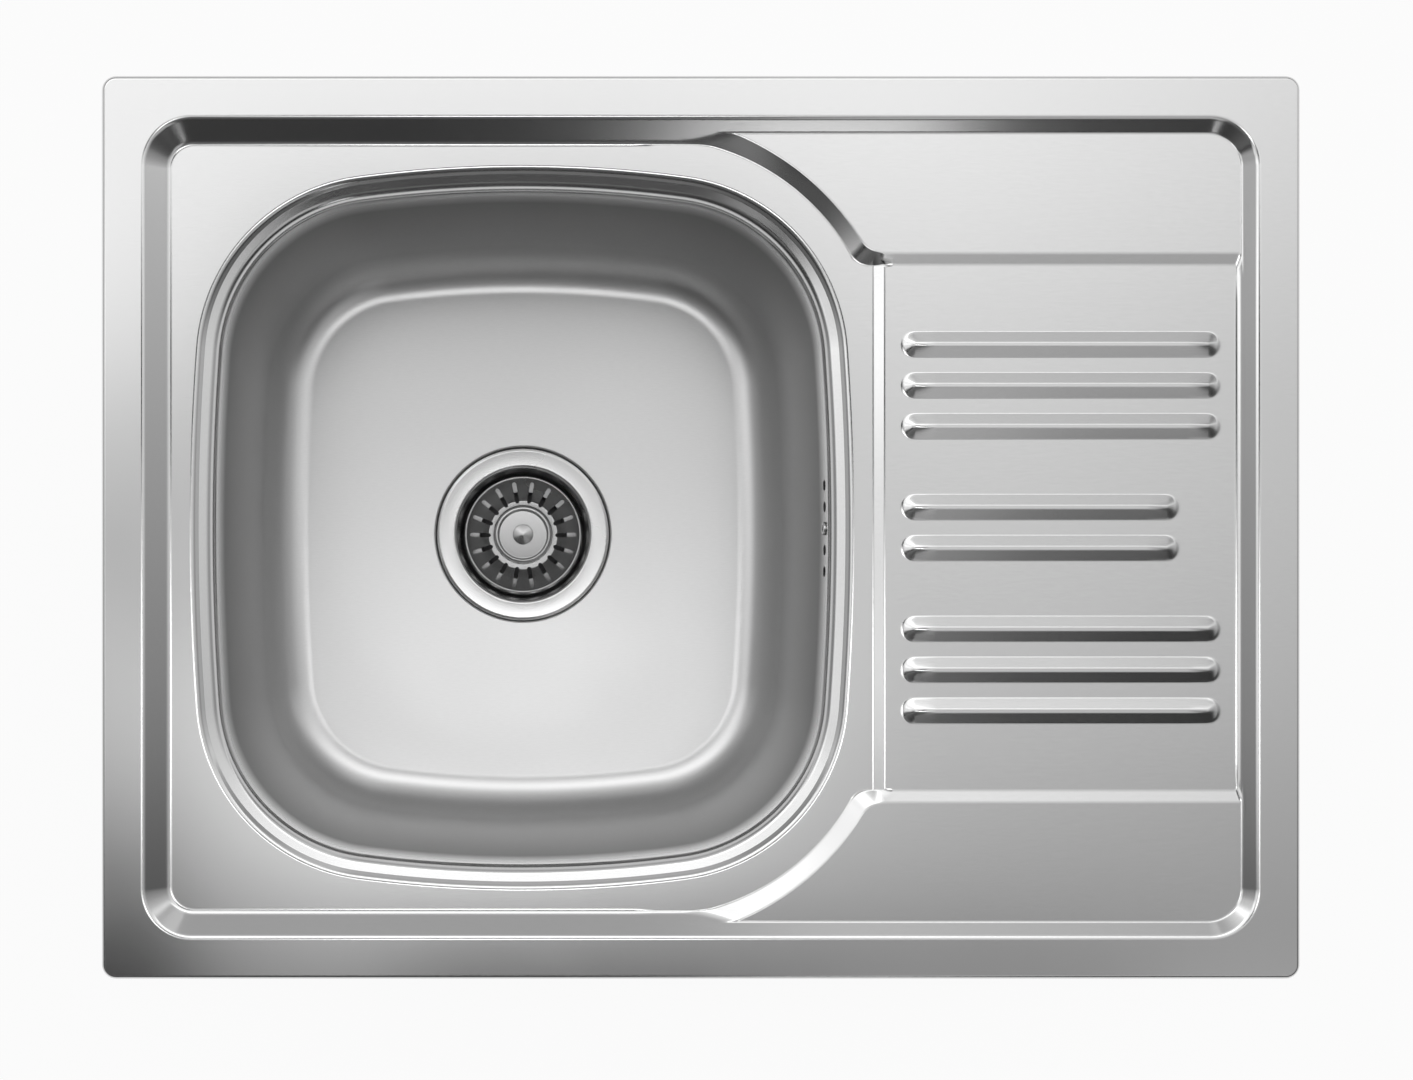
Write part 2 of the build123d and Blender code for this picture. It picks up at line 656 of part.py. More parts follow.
def strainer_basket():
    run = BASKET_RIM_RADIUS - BASKET_FLOOR_RADIUS
    wall = BASKET_SHEET * math.hypot(run, BASKET_HEIGHT) / BASKET_HEIGHT
    floor_wall = BASKET_SHEET * (math.hypot(run, BASKET_HEIGHT) - run) / BASKET_HEIGHT
    top = BASKET_Z + BASKET_HEIGHT
    shell = turned(
        [
            (SPINDLE_RADIUS + RUNNING, BASKET_Z),
            (BASKET_FLOOR_RADIUS, BASKET_Z),
            (BASKET_RIM_RADIUS, top),
            (BASKET_RIM_RADIUS - wall, top),
            (BASKET_FLOOR_RADIUS - floor_wall, BASKET_Z + BASKET_SHEET),
            (SPINDLE_RADIUS + RUNNING, BASKET_Z + BASKET_SHEET),
        ]
    )
    bead_radius = BASKET_RIM_RADIUS - wall / 2
    shell += Pos(0, 0, top) * Torus(bead_radius, BASKET_BEAD)
    slot_length = BASKET_SLOT_OUTER - BASKET_SLOT_INNER
    slot_centre = (BASKET_SLOT_OUTER + BASKET_SLOT_INNER) / 2
    slot = Pos(slot_centre, 0, BASKET_Z - 1) * extrude(SlotOverall(slot_length, BASKET_SLOT), BASKET_HEIGHT)
    for k in range(BASKET_SLOTS):
        shell -= Rot(0, 0, k * 360 / BASKET_SLOTS) * slot
    return Pos(BOWL_X, 0) * shell


def overflow_frame(length, height, corner):
    """Rounded rectangle on the overflow's plane, facing the drainer end."""
    return Pos(HOUSING_X, 0, HOUSING_Z) * (Plane.YZ * RectangleRounded(length, height, corner))


def overflow_housing():
    box = extrude(overflow_frame(HOUSING_LENGTH, HOUSING_HEIGHT, HOUSING_CORNER), HOUSING_DEPTH)
    shrink = 2 * HOUSING_WALL
    inner = overflow_frame(
        HOUSING_LENGTH - shrink, HOUSING_HEIGHT - shrink, HOUSING_CORNER - HOUSING_WALL
    )
    box -= extrude(inner, HOUSING_DEPTH - HOUSING_WALL)
    low = (Align.CENTER, Align.CENTER, Align.MIN)
    toward = Pos(HOUSING_X, 0, OVERFLOW_Z) * Rot(0, 90, 0)
    box += toward * Cylinder(POST_RADIUS, HOUSING_DEPTH - HOUSING_WALL, align=low)
    box -= toward * Cylinder(OVERFLOW_SCREW + RUNNING, OVERFLOW_SCREW_LENGTH, align=low)
    base_z = HOUSING_Z - HOUSING_HEIGHT / 2
    spigot = Cylinder(SPIGOT_RADIUS, SPIGOT_LENGTH, align=low)
    end = Pos(PIPE_X, 0, base_z - SPIGOT_LENGTH)
    box += end * spigot
    box -= end * Rot(180, 0, 0) * spigot_bore(SPIGOT_LENGTH + 2 * HOUSING_WALL)
    return box


def overflow_gasket():
    outer = overflow_frame(HOUSING_LENGTH, HOUSING_HEIGHT, HOUSING_CORNER)
    seat = 2 * HOUSING_SEAT
    inner = overflow_frame(HOUSING_LENGTH - seat, HOUSING_HEIGHT - seat, HOUSING_CORNER / 2)
    gasket = extrude(outer - inner, -2 * HOUSING_GASKET)
    return gasket - bowl_cavity(SHEET + GLUE)


def overflow_screw():
    slope = math.tan(math.radians(BOWL_DRAFT))
    tilt = OVERFLOW_SCREW_HEAD * slope
    seat_x = BOWL_X + BOWL_HALF_X - (WALL_TOP_Z - OVERFLOW_Z) * slope - tilt - GLUE / 2
    high = (Align.CENTER, Align.CENTER, Align.MAX)
    low = (Align.CENTER, Align.CENTER, Align.MIN)
    head = Cylinder(OVERFLOW_SCREW_HEAD, OVERFLOW_SCREW_HEIGHT, align=high)
    head = fillet(head.edges().group_by(Axis.Z)[0], OVERFLOW_SCREW_HEIGHT / 2)
    hexagon = extrude(RegularPolygon(OVERFLOW_SCREW_SOCKET, 6), OVERFLOW_SCREW_HEIGHT * 0.7)
    socket = Pos(0, 0, -OVERFLOW_SCREW_HEIGHT) * hexagon
    shank = Cylinder(OVERFLOW_SCREW, OVERFLOW_SCREW_LENGTH, align=low)
    return Pos(seat_x, 0, OVERFLOW_Z) * Rot(0, 90, 0) * (head - socket + shank)


def overflow_pipe():
    start = (BOWL_X + BODY_RADIUS + PORT_REACH - PIPE_INSERT, 0, PORT_Z)
    top_z = HOUSING_Z - HOUSING_HEIGHT / 2 - SPIGOT_LENGTH + PIPE_INSERT
    path = FilletPolyline(start, (PIPE_X, 0, PORT_Z), (PIPE_X, 0, top_z), radius=PIPE_BEND)
    section = Plane(origin=path @ 0, z_dir=path % 0) * (Circle(PIPE_RADIUS) - Circle(PIPE_BORE))
    return sweep(section, path)


def union_nut():
    """Ribbed pipe nut; the origin is at the end of the spigot it closes."""
    cover = UNION_LENGTH - UNION_WASHER - UNION_END
    shell = ring(UNION_RADIUS, SPIGOT_RADIUS + GLUE, -cover, UNION_WASHER)
    shell += ring(UNION_RADIUS, PIPE_RADIUS + LOOSE, UNION_WASHER, UNION_WASHER + UNION_END)
    groove = Cylinder(2, 3 * UNION_LENGTH)
    for k in range(UNION_RIBS):
        shell -= Rot(0, 0, k * 360 / UNION_RIBS) * Pos(UNION_RADIUS + 1, 0) * groove
    return shell


def union_washer():
    return ring(SPIGOT_RADIUS - LOOSE, PIPE_RADIUS + RUNNING, 0, UNION_WASHER)


def upper_joint():
    return Pos(PIPE_X, 0, HOUSING_Z - HOUSING_HEIGHT / 2 - SPIGOT_LENGTH) * Rot(180, 0, 0)


def lower_joint():
    return Pos(BOWL_X + BODY_RADIUS + PORT_REACH, 0, PORT_Z) * Rot(0, 90, 0)


def clip_places():
    """Position and turn of each clip; the origin is on the sheet's underside."""
    places = []
    for side in (1, -1):
        for x in CLIP_X:
            under = (WING_Z if x > DRAINER_EDGE_X else DECK_Z) - SHEET
            places.append(Pos(x, side * CLIP_Y, under) * Rot(0, 0, 0 if side > 0 else 180))
    return places


def clip_bracket():
    top = (Align.CENTER, Align.CENTER, Align.MAX)
    channel = Box(BRACKET_LENGTH, BRACKET_WIDTH, BRACKET_HEIGHT, align=top)
    wall = 2 * BRACKET_SHEET
    channel -= Pos(0, 0, -BRACKET_SHEET) * Box(
        BRACKET_LENGTH + 2, BRACKET_WIDTH - wall, BRACKET_HEIGHT - wall, align=top
    )
    hole = Pos(0, 0, -BRACKET_HEIGHT) * Cylinder(BOLT_RADIUS + LOOSE, BRACKET_HEIGHT)
    return channel - hole


def hexagon(flats):
    return RegularPolygon(flats / math.sqrt(3), 6)


def clip_bolt():
    seat = -BRACKET_HEIGHT + BRACKET_SHEET
    head = at_height(extrude(hexagon(BOLT_FLATS), BOLT_HEAD), seat)
    shank = Cylinder(BOLT_RADIUS, BOLT_LENGTH, align=(Align.CENTER, Align.CENTER, Align.MAX))
    return head + at_height(shank, seat)


def clip_nut():
    flange = ring(NUT_FLANGE, BOLT_RADIUS + RUNNING, -NUT_DROP - NUT_FLANGE_THICK, -NUT_DROP)
    low = -NUT_DROP - NUT_FLANGE_THICK - NUT_HEIGHT
    hexagonal = at_height(extrude(hexagon(NUT_FLATS), NUT_HEIGHT), low)
    return flange + (hexagonal - at_height(Cylinder(BOLT_RADIUS + RUNNING, 4 * NUT_HEIGHT), low))


def clip_arm():
    low = -NUT_DROP + GLUE
    plate = Circle(ARM_WIDTH / 2) + Pos(ARM_LENGTH / 2, 0) * Rectangle(ARM_LENGTH, ARM_WIDTH)
    arm = at_height(extrude(plate - Circle(BOLT_RADIUS + LOOSE), ARM_SHEET), low)
    claw = Box(ARM_SHEET, ARM_WIDTH, ARM_CLAW + ARM_SHEET, align=(Align.MAX, Align.CENTER, Align.MIN))
    arm += Pos(ARM_LENGTH, 0, low) * claw
    return arm


def all_parts():
    parts = {
        "sink_pressing": sink_pressing(),
        "rim_seal": rim_seal(),
        "sound_pads": Compound(children=sound_pads()),
        "strainer_cup": strainer_cup(),
        "cup_gasket": cup_gasket(),
        "body_gasket": body_gasket(),
        "waste_body": waste_body(),
        "waste_funnel": waste_funnel(),
        "screw_insert": screw_insert(),
        "centre_screw": centre_screw(),
        "spindle": spindle(),
        "friction_ring": friction_ring(),
        "plug_seal": plug_seal(),
        "seal_washer": seal_washer(),
        "plug_knob": plug_knob(),
        "strainer_basket": strainer_basket(),
        "overflow_housing": overflow_housing(),
        "overflow_gasket": overflow_gasket(),
        "overflow_screw": overflow_screw(),
        "overflow_pipe": overflow_pipe(),
        "upper_pipe_nut": upper_joint() * union_nut(),
        "upper_pipe_washer": upper_joint() * union_washer(),
        "lower_pipe_nut": lower_joint() * union_nut(),
        "lower_pipe_washer": lower_joint() * union_washer(),
    }
    places = clip_places()
    parts["clip_brackets"] = Compound(children=[place * clip_bracket() for place in places])
    parts["clip_bolts"] = Compound(children=[place * clip_bolt() for place in places])
    for number, place in enumerate(places, 1):
        parts[f"clip_nut_{number}"] = place * clip_nut()
        parts[f"clip_arm_{number}"] = place * clip_arm()
    return parts


if __name__ == "__main__":
    os.makedirs("parts", exist_ok=True)
    for name, shape in all_parts().items():
        export_step(shape, f"parts/{name}.step")
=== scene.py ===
import json
import math

import bpy
import numpy as np
from bpy.props import FloatProperty, FloatVectorProperty, IntProperty, PointerProperty
from bpy.types import Operator, Panel, PropertyGroup
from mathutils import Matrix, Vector
from mathutils.geometry import delaunay_2d_cdt


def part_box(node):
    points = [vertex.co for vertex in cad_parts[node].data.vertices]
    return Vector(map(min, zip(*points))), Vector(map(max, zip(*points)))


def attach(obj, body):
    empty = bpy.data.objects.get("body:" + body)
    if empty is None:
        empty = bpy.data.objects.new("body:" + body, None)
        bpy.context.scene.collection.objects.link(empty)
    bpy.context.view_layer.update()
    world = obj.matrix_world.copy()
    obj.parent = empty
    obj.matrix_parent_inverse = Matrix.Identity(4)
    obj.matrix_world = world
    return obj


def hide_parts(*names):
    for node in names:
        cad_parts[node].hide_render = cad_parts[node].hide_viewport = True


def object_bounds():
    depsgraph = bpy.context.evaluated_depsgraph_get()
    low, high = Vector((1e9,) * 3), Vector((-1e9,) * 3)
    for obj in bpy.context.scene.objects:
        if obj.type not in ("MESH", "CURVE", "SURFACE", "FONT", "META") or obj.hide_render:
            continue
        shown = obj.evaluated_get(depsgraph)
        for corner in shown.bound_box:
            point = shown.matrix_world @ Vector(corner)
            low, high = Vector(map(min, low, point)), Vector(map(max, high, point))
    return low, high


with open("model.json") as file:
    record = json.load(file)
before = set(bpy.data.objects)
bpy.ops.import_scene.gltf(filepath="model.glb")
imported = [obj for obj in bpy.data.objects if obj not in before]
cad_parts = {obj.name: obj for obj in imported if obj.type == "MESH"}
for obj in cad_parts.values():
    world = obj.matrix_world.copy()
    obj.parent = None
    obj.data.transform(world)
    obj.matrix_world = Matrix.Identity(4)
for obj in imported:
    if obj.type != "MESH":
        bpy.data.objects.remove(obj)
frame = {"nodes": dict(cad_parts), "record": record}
CAD_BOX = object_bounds()

bl_info = {
    "name": "Inset steel sink",
    "version": (1, 0, 0),
    "blender": (4, 5, 0),
    "location": "3D View > Sidebar > Sink",
    "description": "Pressed steel sink with a drainer, a basket strainer, its waste and its clips",
    "category": "Object",
}

PRESS_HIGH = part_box("sink_pressing")[1]
FLANGE_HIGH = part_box("strainer_cup")[1]
KNOB_LOW, KNOB_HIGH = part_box("plug_knob")
BASKET_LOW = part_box("strainer_basket")[0]

# Distances in metres, or angles, that count as nothing, and the least area of a face.
SAME_POINT = 1e-7
ON_LINE = 1e-6
NO_BEND = 1e-9
WELD = 2e-6
LEAST_AREA = 1e-10
# Faces whose middle lies within this share of a hole's radius are left out.
HOLE_SHARE = 0.985
# Edges that turn by more than this stay sharp on turned pieces and on copied ones.
TURNED_SHARP = math.radians(40)
COPIED_SHARP = math.radians(38)

# How finely pieces are cut: steps round bends, corners and arcs, distances between points and lines.
BEND_STEPS, FILLET_STEPS = 6, 26
RUN_STEP = 0.012
RIM_TURN, POCKET_TURN, RIB_TURN = 8, 14, 10
SIDE_STEPS, CORNER_STEPS, END_STEPS = 28, 28, 24
# Lines along the slope inside the rim, outward from its top, and along a wing's edge, as shares of its drop.
SLOPE_LINES = np.arange(0.0021, -0.0146, -0.0006)
WING_LINES = (*np.arange(-0.15, 1.2, 0.05), 1.3, 1.4, 1.5)
WING_MARGIN = 0.001
# Lines along the drainer's step, which end where the wing begins.
STEP_ROWS = 121
STEP_MARGIN = 0.0021
STEP_LINE = 0.0007
STEP_CLEAR = 0.0012
# Lines round a rib: about each of its bends, down its flank, and on the flat beside it.
RIB_BENDS = (-0.0004, -0.0002, 0, 0.0002, 0.0004)
RIB_FLANK, RIB_FLANK_END, RIB_FLANK_LINE = 0.0022, 0.0006, 0.0011
RIB_OUTSIDE = (0.0009, 0.0016, 0.0026)
# Deck beyond the ledge's step, the wall's patch with the overflow holes, and the rows of wall and floor.
DECK_MARGIN = 0.0023
PATCH_ROW, PATCH_HALF = 0.0026, 0.043
HOLE_POINTS = 24
WALL_ROWS, WALL_TOP, WALL_FOOT = 9, 0.01, 0.004
FLOOR_EDGE = 0.001
FLOOR_RINGS = 9
RECESS_MARGIN = 0.004
# Sides of the turned pieces.
KNOB_SIDES, SPINDLE_SIDES, FUNNEL_SIDES = 96, 64, 96
# Rings of the basket: its floor, its bend to either side and its wall.
BASKET_FLOOR_RINGS = (0.009, 0.014, 0.019)
BASKET_BEND = 0.0009
BASKET_WALL_RINGS = (0.0265, 0.030, 0.0335)
SLOT_STEP = 0.0012

# Height of a thread's ridge as a share of its pitch.
OUTLET_RIDGE, BOLT_RIDGE = 0.42, 0.38

# Factors that leave a vector as it is, and that take away its height.
EVEN = (1.0, 1.0, 1.0)
LEVEL = (1.0, 1.0, 0.0)
# Fineness of each finish's grain, roughness in and out of wiped patches, and depth of the grain; the bowl's
# walls and the strainer's inner part get painted shade where marked.
STEELS = {
    "satin_steel": {
        "scale": 1400.0, "rough": (0.15, 0.18), "bump": 0.12, "stretch": (0.15, 1.0, 1.0), "bowl_rough_and_shade": True,
    },
    "strainer_steel": {"scale": 2600.0, "rough": (0.22, 0.28), "bump": 0.1, "turned": True, "inner": True},
    "plated_steel": {"scale": 600.0, "rough": (0.28, 0.42), "bump": 0.3},
    "insert_brass": {"scale": 2000.0, "rough": (0.25, 0.35), "bump": 0.2, "turned": True},
}
PLASTIC = {"scale": 1100.0, "rough": (0.35, 0.5), "bump": 0.12}
SKINS = {
    "seal_foam": {"scale": 1500.0, "rough": (0.85, 0.95), "bump": 0.8, "sheen": 0.1},
    "soft_rubber": {"scale": 900.0, "rough": (0.55, 0.7), "bump": 0.15},
    "pad_bitumen": {"scale": 350.0, "rough": (0.6, 0.8), "bump": 0.8},
    "grey_plastic": PLASTIC,
    "white_plastic": PLASTIC,
}
# Heights between which the bowl's wall begins, its floor begins and the wall's painted shade grows.
WALL_SPAN = (-0.012, -0.032)
FLOOR_SPAN = (-0.135, -0.1548)
SHADE_SPAN = (-0.125, -0.03)
# How much rougher the wall and the floor are, and how much painted shade darkens the wall.
WALL_ROUGH, FLOOR_ROUGH, WALL_PAINTED_SHADE = 0.4, 0.15, 0.5
# Distances from the drain's axis over which the strainer's inner part begins, and how much painted shade
# darkens it.
INNER_SPAN = (0.0385, 0.0375)
INNER_PAINTED_SHADE = 0.3


def length(name, description, default):
    return FloatProperty(name=name, description=description, default=default, unit="LENGTH", precision=4)


def angle(name, description, degrees):
    return FloatProperty(
        name=name, description=description, default=math.radians(degrees), subtype="ANGLE", unit="ROTATION"
    )


def colour(name, description, default):
    return FloatVectorProperty(
        name=name, description=description, default=default, subtype="COLOR", size=3, min=0, max=1
    )


class PressingSizes(PropertyGroup):
    """Sizes of the pressed sheet, in metres."""

    sheet: length("Sheet", "Thickness of the steel", 0.0008)
    half_x: length("Half length", "Half the rim's length", PRESS_HIGH.x)
    half_y: length("Half width", "Half the rim's width", PRESS_HIGH.y)
    rim_z: length("Rim height", "Top of the rim", PRESS_HIGH.z)
    lip_z: length("Lip end", "Lower edge of the turned-down lip", 0.0004)
    rim_flat: length("Rim width", "From the outer edge to the inner slope", 0.023)
    rim_corner: length("Rim corner", "Radius of the rim's corners", 0.008)
    rim_edge: length("Rim edge", "Radius of the turned-down edge", 0.0025)
    rim_bend: length("Rim bend", "Radius where the rim turns into the slope", 0.004)
    foot_bend: length("Foot bend", "Radius at the foot of the slope", 0.005)
    slope_run: length("Slope run", "Width of the slope inside the rim", 0.012)
    pocket_corner: length("Slope corner", "Corner radius at the top of the slope", 0.026)
    deck_z: length("Deck height", "Flat round the bowl", -0.003)
    drainer_z: length("Drainer height", "Flat between the ribs", -0.0010)
    wing_z: length("Wing height", "Raised flats beside the drainer", 0.0002)
    drainer_edge: length("Drainer edge", "Where the drainer begins", 0.1005)
    drainer_run: length("Drainer step", "Width of the step up to the drainer", 0.0054)
    drainer_bend: length("Drainer bend", "Radius of the step's bends", 0.003)
    wing_edge: length("Wing edge", "Distance of the straight edge from the middle", 0.1495)
    wing_top_arc: length("Wing top arc", "Radius of the upper edge that follows the bowl", 0.1463)
    wing_top_x: length("Wing top X", "Centre of the upper edge", -0.0362)
    wing_top_y: length("Wing top Y", "Centre of the upper edge", 0.0791)
    wing_foot_arc: length("Wing foot arc", "Radius of that edge at the deck", 0.1260)
    wing_foot_x: length("Wing foot X", "Centre of the edge at the deck", -0.0268)
    wing_foot_y: length("Wing foot Y", "Centre of the edge at the deck", 0.0868)
    wing_arc_end: angle("Wing arc end", "Where that edge runs into the slope inside the rim", 80)
    wing_corner: length("Wing corner", "Radius of the wing's corner", 0.016)
    wing_round: length("Wing round", "Depth of the join at that corner", 0.0034)
    wing_slope: angle("Wing slope", "Slope of the curved edge", 18.2)
    wing_run: length("Wing run", "Width of the straight edge", 0.0062)
    wing_bend: length("Wing bend", "Radius of the bends of that edge", 0.003)
    wing_foot: length("Wing foot", "Radius where the slope inside the rim meets the wing", 0.0015)
    wing_blend: length("Wing blend", "Depth of the join of the wing's edge and that slope", 0.0012)
    rib_start: length("Rib start", "Where the ribs begin", 0.1104)
    rib_long: length("Long rib", "Length of the outer ribs", 0.173)
    rib_short: length("Short rib", "Length of the middle ribs", 0.1505)
    rib_width: length("Rib width", "Width at the foot", 0.0142)
    rib_crest: length("Rib crest", "Width of the flat crest", 0.002)
    rib_height: length("Rib height", "Height over the drainer", 0.0023)
    rib_pitch: length("Rib pitch", "Distance between ribs", 0.0223)
    rib_group: length("Rib group", "Distance of the outer groups from the middle", 0.0775)
    rib_bend: length("Rib bend", "Radius of the ribs' bends", 0.0014)
    rib_end_bend: length("Rib end bend", "Radius of the bends at the ribs' round ends", 0.006)
    rib_end_start: length("Rib end start", "Depth of the join of a rib and its round ends", 0.004)
    bowl_x: length("Bowl centre", "Centre of the bowl and the drain", -0.097)
    bowl_half_x: length("Bowl half length", "At the wall's top", 0.1689)
    bowl_half_y: length("Bowl half width", "At the wall's top", 0.1854)
    side_arc: length("Side arc", "Radius of the bowl's left and right sides", 1.357)
    end_arc: length("End arc", "Radius of the bowl's front and back", 0.667)
    bowl_corner: length("Bowl corner", "Radius of the bowl's corners", 0.089)
    bowl_draft: angle("Bowl draft", "Lean of the walls", 2.5)
    floor_z: length("Bowl floor", "Height of the floor", -0.155)
    floor_fillet: length("Floor fillet", "Radius between wall and floor", 0.026)
    bowl_roll: length("Bowl roll", "Radius between ledge and wall", 0.007)
    ledge_width: length("Ledge width", "From the wall's top to the step", 0.0084)
    ledge_fall: length("Ledge fall", "Drop of the ledge toward the wall", 0.0025)
    ledge_step_drop: length("Ledge step", "Drop from the deck to the ledge", 0.0022)
    ledge_step_run: length("Ledge step run", "Width of that step", 0.0028)
    ledge_bend: length("Ledge bend", "Radius at the deck's edge", 0.005)
    ledge_foot: length("Ledge foot", "Radius at the foot of the step", 0.0009)
    recess_radius: length("Recess radius", "Drain recess at the floor", 0.0566)
    recess_depth: length("Recess depth", "Depth of the drain recess", 0.0032)
    recess_run: length("Recess run", "Width of its sloped wall", 0.0010)
    recess_bend: length("Recess bend", "Radius at the recess's edge", 0.0013)
    recess_foot: length("Recess foot", "Radius at the foot of its wall", 0.0008)
    drain_hole: length("Drain hole", "Radius of the hole", 0.0448)
    overflow_z: length("Overflow height", "Middle of the overflow holes", -0.019)
    overflow_pitch: length("Overflow pitch", "Distance between the holes", 0.012)
    overflow_hole: length("Overflow hole", "Radius of an overflow hole", 0.003)
    screw_hole: length("Screw hole", "Radius of the hole for the overflow screw", 0.0028)


def smooth_max(a, b, depth):
    blend = np.maximum(depth - np.abs(a - b), 0) / depth
    return np.maximum(a, b) + blend * blend * depth / 4


def smooth_min(a, b, depth):
    return -smooth_max(-a, -b, depth)


def blend_depth(radius, slope_change):
    """Depth of a smooth join that gives about this bend radius between two slopes."""
    return radius * slope_change**2 / 2


def box_distance(points, half, corner):
    """Signed distance of points from a rounded rectangle, positive outside."""
    over = np.abs(points) - (np.array(half) - corner)
    outside = np.linalg.norm(np.maximum(over, 0), axis=1)
    inside = np.minimum(over.max(axis=1), 0)
    return outside + inside - corner


def wing_edges(s):
    """Centre and radius of the wing's curved edge at its top, and how they change down to the deck."""
    top = np.array((s.wing_top_x, s.wing_top_y))
    shift = np.array((s.wing_foot_x, s.wing_foot_y)) - top
    return top, s.wing_top_arc, shift, s.wing_foot_arc - s.wing_top_arc


def drainer_level(points, s):
    """Height of the deck and the drainer with the step between them."""
    rise = (s.drainer_z - s.deck_z) / s.drainer_run
    step = s.deck_z + (points[:, 0] - s.drainer_edge + s.drainer_run) * rise
    depth = blend_depth(s.drainer_bend, rise)
    return smooth_max(s.deck_z, smooth_min(s.drainer_z, step, depth), depth)


def wing_drop(points, s):
    """Depth under the wing's top of its sloped edge, negative on the wing."""
    top, arc, shift, shrink = wing_edges(s)
    x = np.maximum(points[:, 0], s.wing_foot_x)
    y = np.abs(points[:, 1])
    from_top = np.column_stack((x, y)) - top
    a = shift @ shift - shrink**2
    b = -2 * (from_top @ shift + arc * shrink)
    c = (from_top**2).sum(axis=1) - arc**2
    share = -2 * c / (b + np.sqrt(np.maximum(b * b - 4 * a * c, 0)))
    round_edge = share * (s.wing_z - s.deck_z) + (x - points[:, 0]) * math.tan(s.wing_slope)
    straight_edge = (s.wing_edge - y) / s.wing_run * (s.wing_z - drainer_level(points, s))
    return smooth_max(round_edge, straight_edge, s.wing_round)


def rib_rows(s):
    """Length and distance from the middle line of each rib on one side."""
    rows = [(s.rib_short, s.rib_pitch / 2)]
    rows += [(s.rib_long, s.rib_group + k * s.rib_pitch) for k in (-1, 0, 1)]
    return rows


def rib_distance(points, s, rib_length, rib_y):
    """Distance from a rib's middle line, and the share of it that lies along the rib, beyond its ends."""
    half = s.rib_width / 2
    from_middle = np.abs(points[:, 0] - s.rib_start - rib_length / 2)
    beyond = smooth_max(from_middle - rib_length / 2 + half, 0, s.rib_end_start)
    return np.hypot(beyond, np.abs(points[:, 1]) - rib_y), np.clip(beyond / half, 0, 1)


def pressed_height(points, s):
    """Height of the pressed top outside the bowl."""
    slope = (s.rim_z - s.deck_z) / s.slope_run
    half = (s.half_x - s.rim_flat, s.half_y - s.rim_flat)
    bank = s.rim_z + box_distance(points, half, s.pocket_corner) * slope
    level = drainer_level(points, s)
    rib_slope = s.rib_height / ((s.rib_width - s.rib_crest) / 2)
    for rib_length, rib_y in rib_rows(s):
        away, end = rib_distance(points, s, rib_length, rib_y)
        side = s.drainer_z + (s.rib_width / 2 - away) * rib_slope
        depth = blend_depth(s.rib_bend + (s.rib_end_bend - s.rib_bend) * end, rib_slope)
        level = smooth_max(level, smooth_min(s.drainer_z + s.rib_height, side, depth), depth)
    edge = s.wing_z - wing_drop(points, s)
    near = np.clip((edge - bank) / s.wing_blend + 1, 0, 1)
    bend = blend_depth(s.wing_bend, math.tan(s.wing_slope))
    foot = blend_depth(s.foot_bend, slope)
    cap = smooth_max(s.wing_z, bank, blend_depth(s.wing_foot, slope))
    raised = smooth_min(smooth_max(edge, bank, s.wing_blend), cap, bend * near + NO_BEND)
    level = smooth_max(level, raised, foot + (bend - foot) * near)
    return smooth_min(s.rim_z, level, blend_depth(s.rim_bend, slope))


def height_normals(points, height):
    """Unit normals of a height function, from its slopes."""
    small = 1e-5
    slopes = []
    for axis in (0, 1):
        shift = np.zeros(2)
        shift[axis] = small
        slopes.append((height(points + shift) - height(points - shift)) / (2 * small))
    normals = np.column_stack((-slopes[0], -slopes[1], np.ones(len(points))))
    return normals / np.linalg.norm(normals, axis=1)[:, None]


def box_columns(core_x, core_y, corner_steps, step):
    """Centres and directions of points round a rounded rectangle, counter-clockwise."""
    signs = ((1, 1), (-1, 1), (-1, -1), (1, -1))
    centres = []
    turns = []
    for quarter in range(4):
        here = np.array(signs[quarter]) * (core_x, core_y)
        there = np.array(signs[(quarter + 1) % 4]) * (core_x, core_y)
        for k in range(corner_steps + 1):
            centres.append(here)
            turns.append((quarter + k / corner_steps) * math.pi / 2)
        runs = math.ceil(np.linalg.norm(there - here) / step)
        for k in range(1, runs):
            centres.append(here + (there - here) * k / runs)
            turns.append((quarter + 1) * math.pi / 2)
    turns = np.array(turns)
    return np.array(centres), np.column_stack((np.cos(turns), np.sin(turns)))


def bowl_arcs(s):
    """Arcs of the bowl outline as centre, radius, start angle, sweep and steps, about the bowl's middle."""
    side_x = s.bowl_half_x - s.side_arc
    end_y = s.bowl_half_y - s.end_arc
    side_reach = s.side_arc - s.bowl_corner
    end_reach = s.end_arc - s.bowl_corner
    span = math.hypot(side_x, end_y)
    along = (span**2 + side_reach**2 - end_reach**2) / (2 * span)
    across = math.sqrt(side_reach**2 - along**2)
    corner_x = side_x + (-side_x * along - end_y * across) / span
    corner_y = (end_y * along - side_x * across) / span
    side = math.atan2(corner_y, corner_x - side_x)
    end = math.atan2(corner_y - end_y, corner_x)
    flare = math.pi / 2 - end
    turn = end - side
    arcs = [
        ((side_x, 0), s.side_arc, -side, 2 * side, SIDE_STEPS),
        ((corner_x, corner_y), s.bowl_corner, side, turn, CORNER_STEPS),
        ((0, end_y), s.end_arc, end, 2 * flare, END_STEPS),
        ((-corner_x, corner_y), s.bowl_corner, end + 2 * flare, turn, CORNER_STEPS),
    ]
    return arcs + [((-x, -y), radius, start + math.pi, *rest) for (x, y), radius, start, *rest in arcs]


def bowl_columns(s):
    """Points on the bowl outline at the wall's top, with their outward directions."""
    points = []
    turns = []
    for centre, radius, start, sweep, steps in bowl_arcs(s):
        for k in range(steps):
            turn = start + sweep * k / steps
            turns.append(turn)
            x = s.bowl_x + centre[0] + radius * math.cos(turn)
            points.append((x, centre[1] + radius * math.sin(turn)))
    turns = np.array(turns)
    return np.array(points), np.column_stack((np.cos(turns), np.sin(turns)))


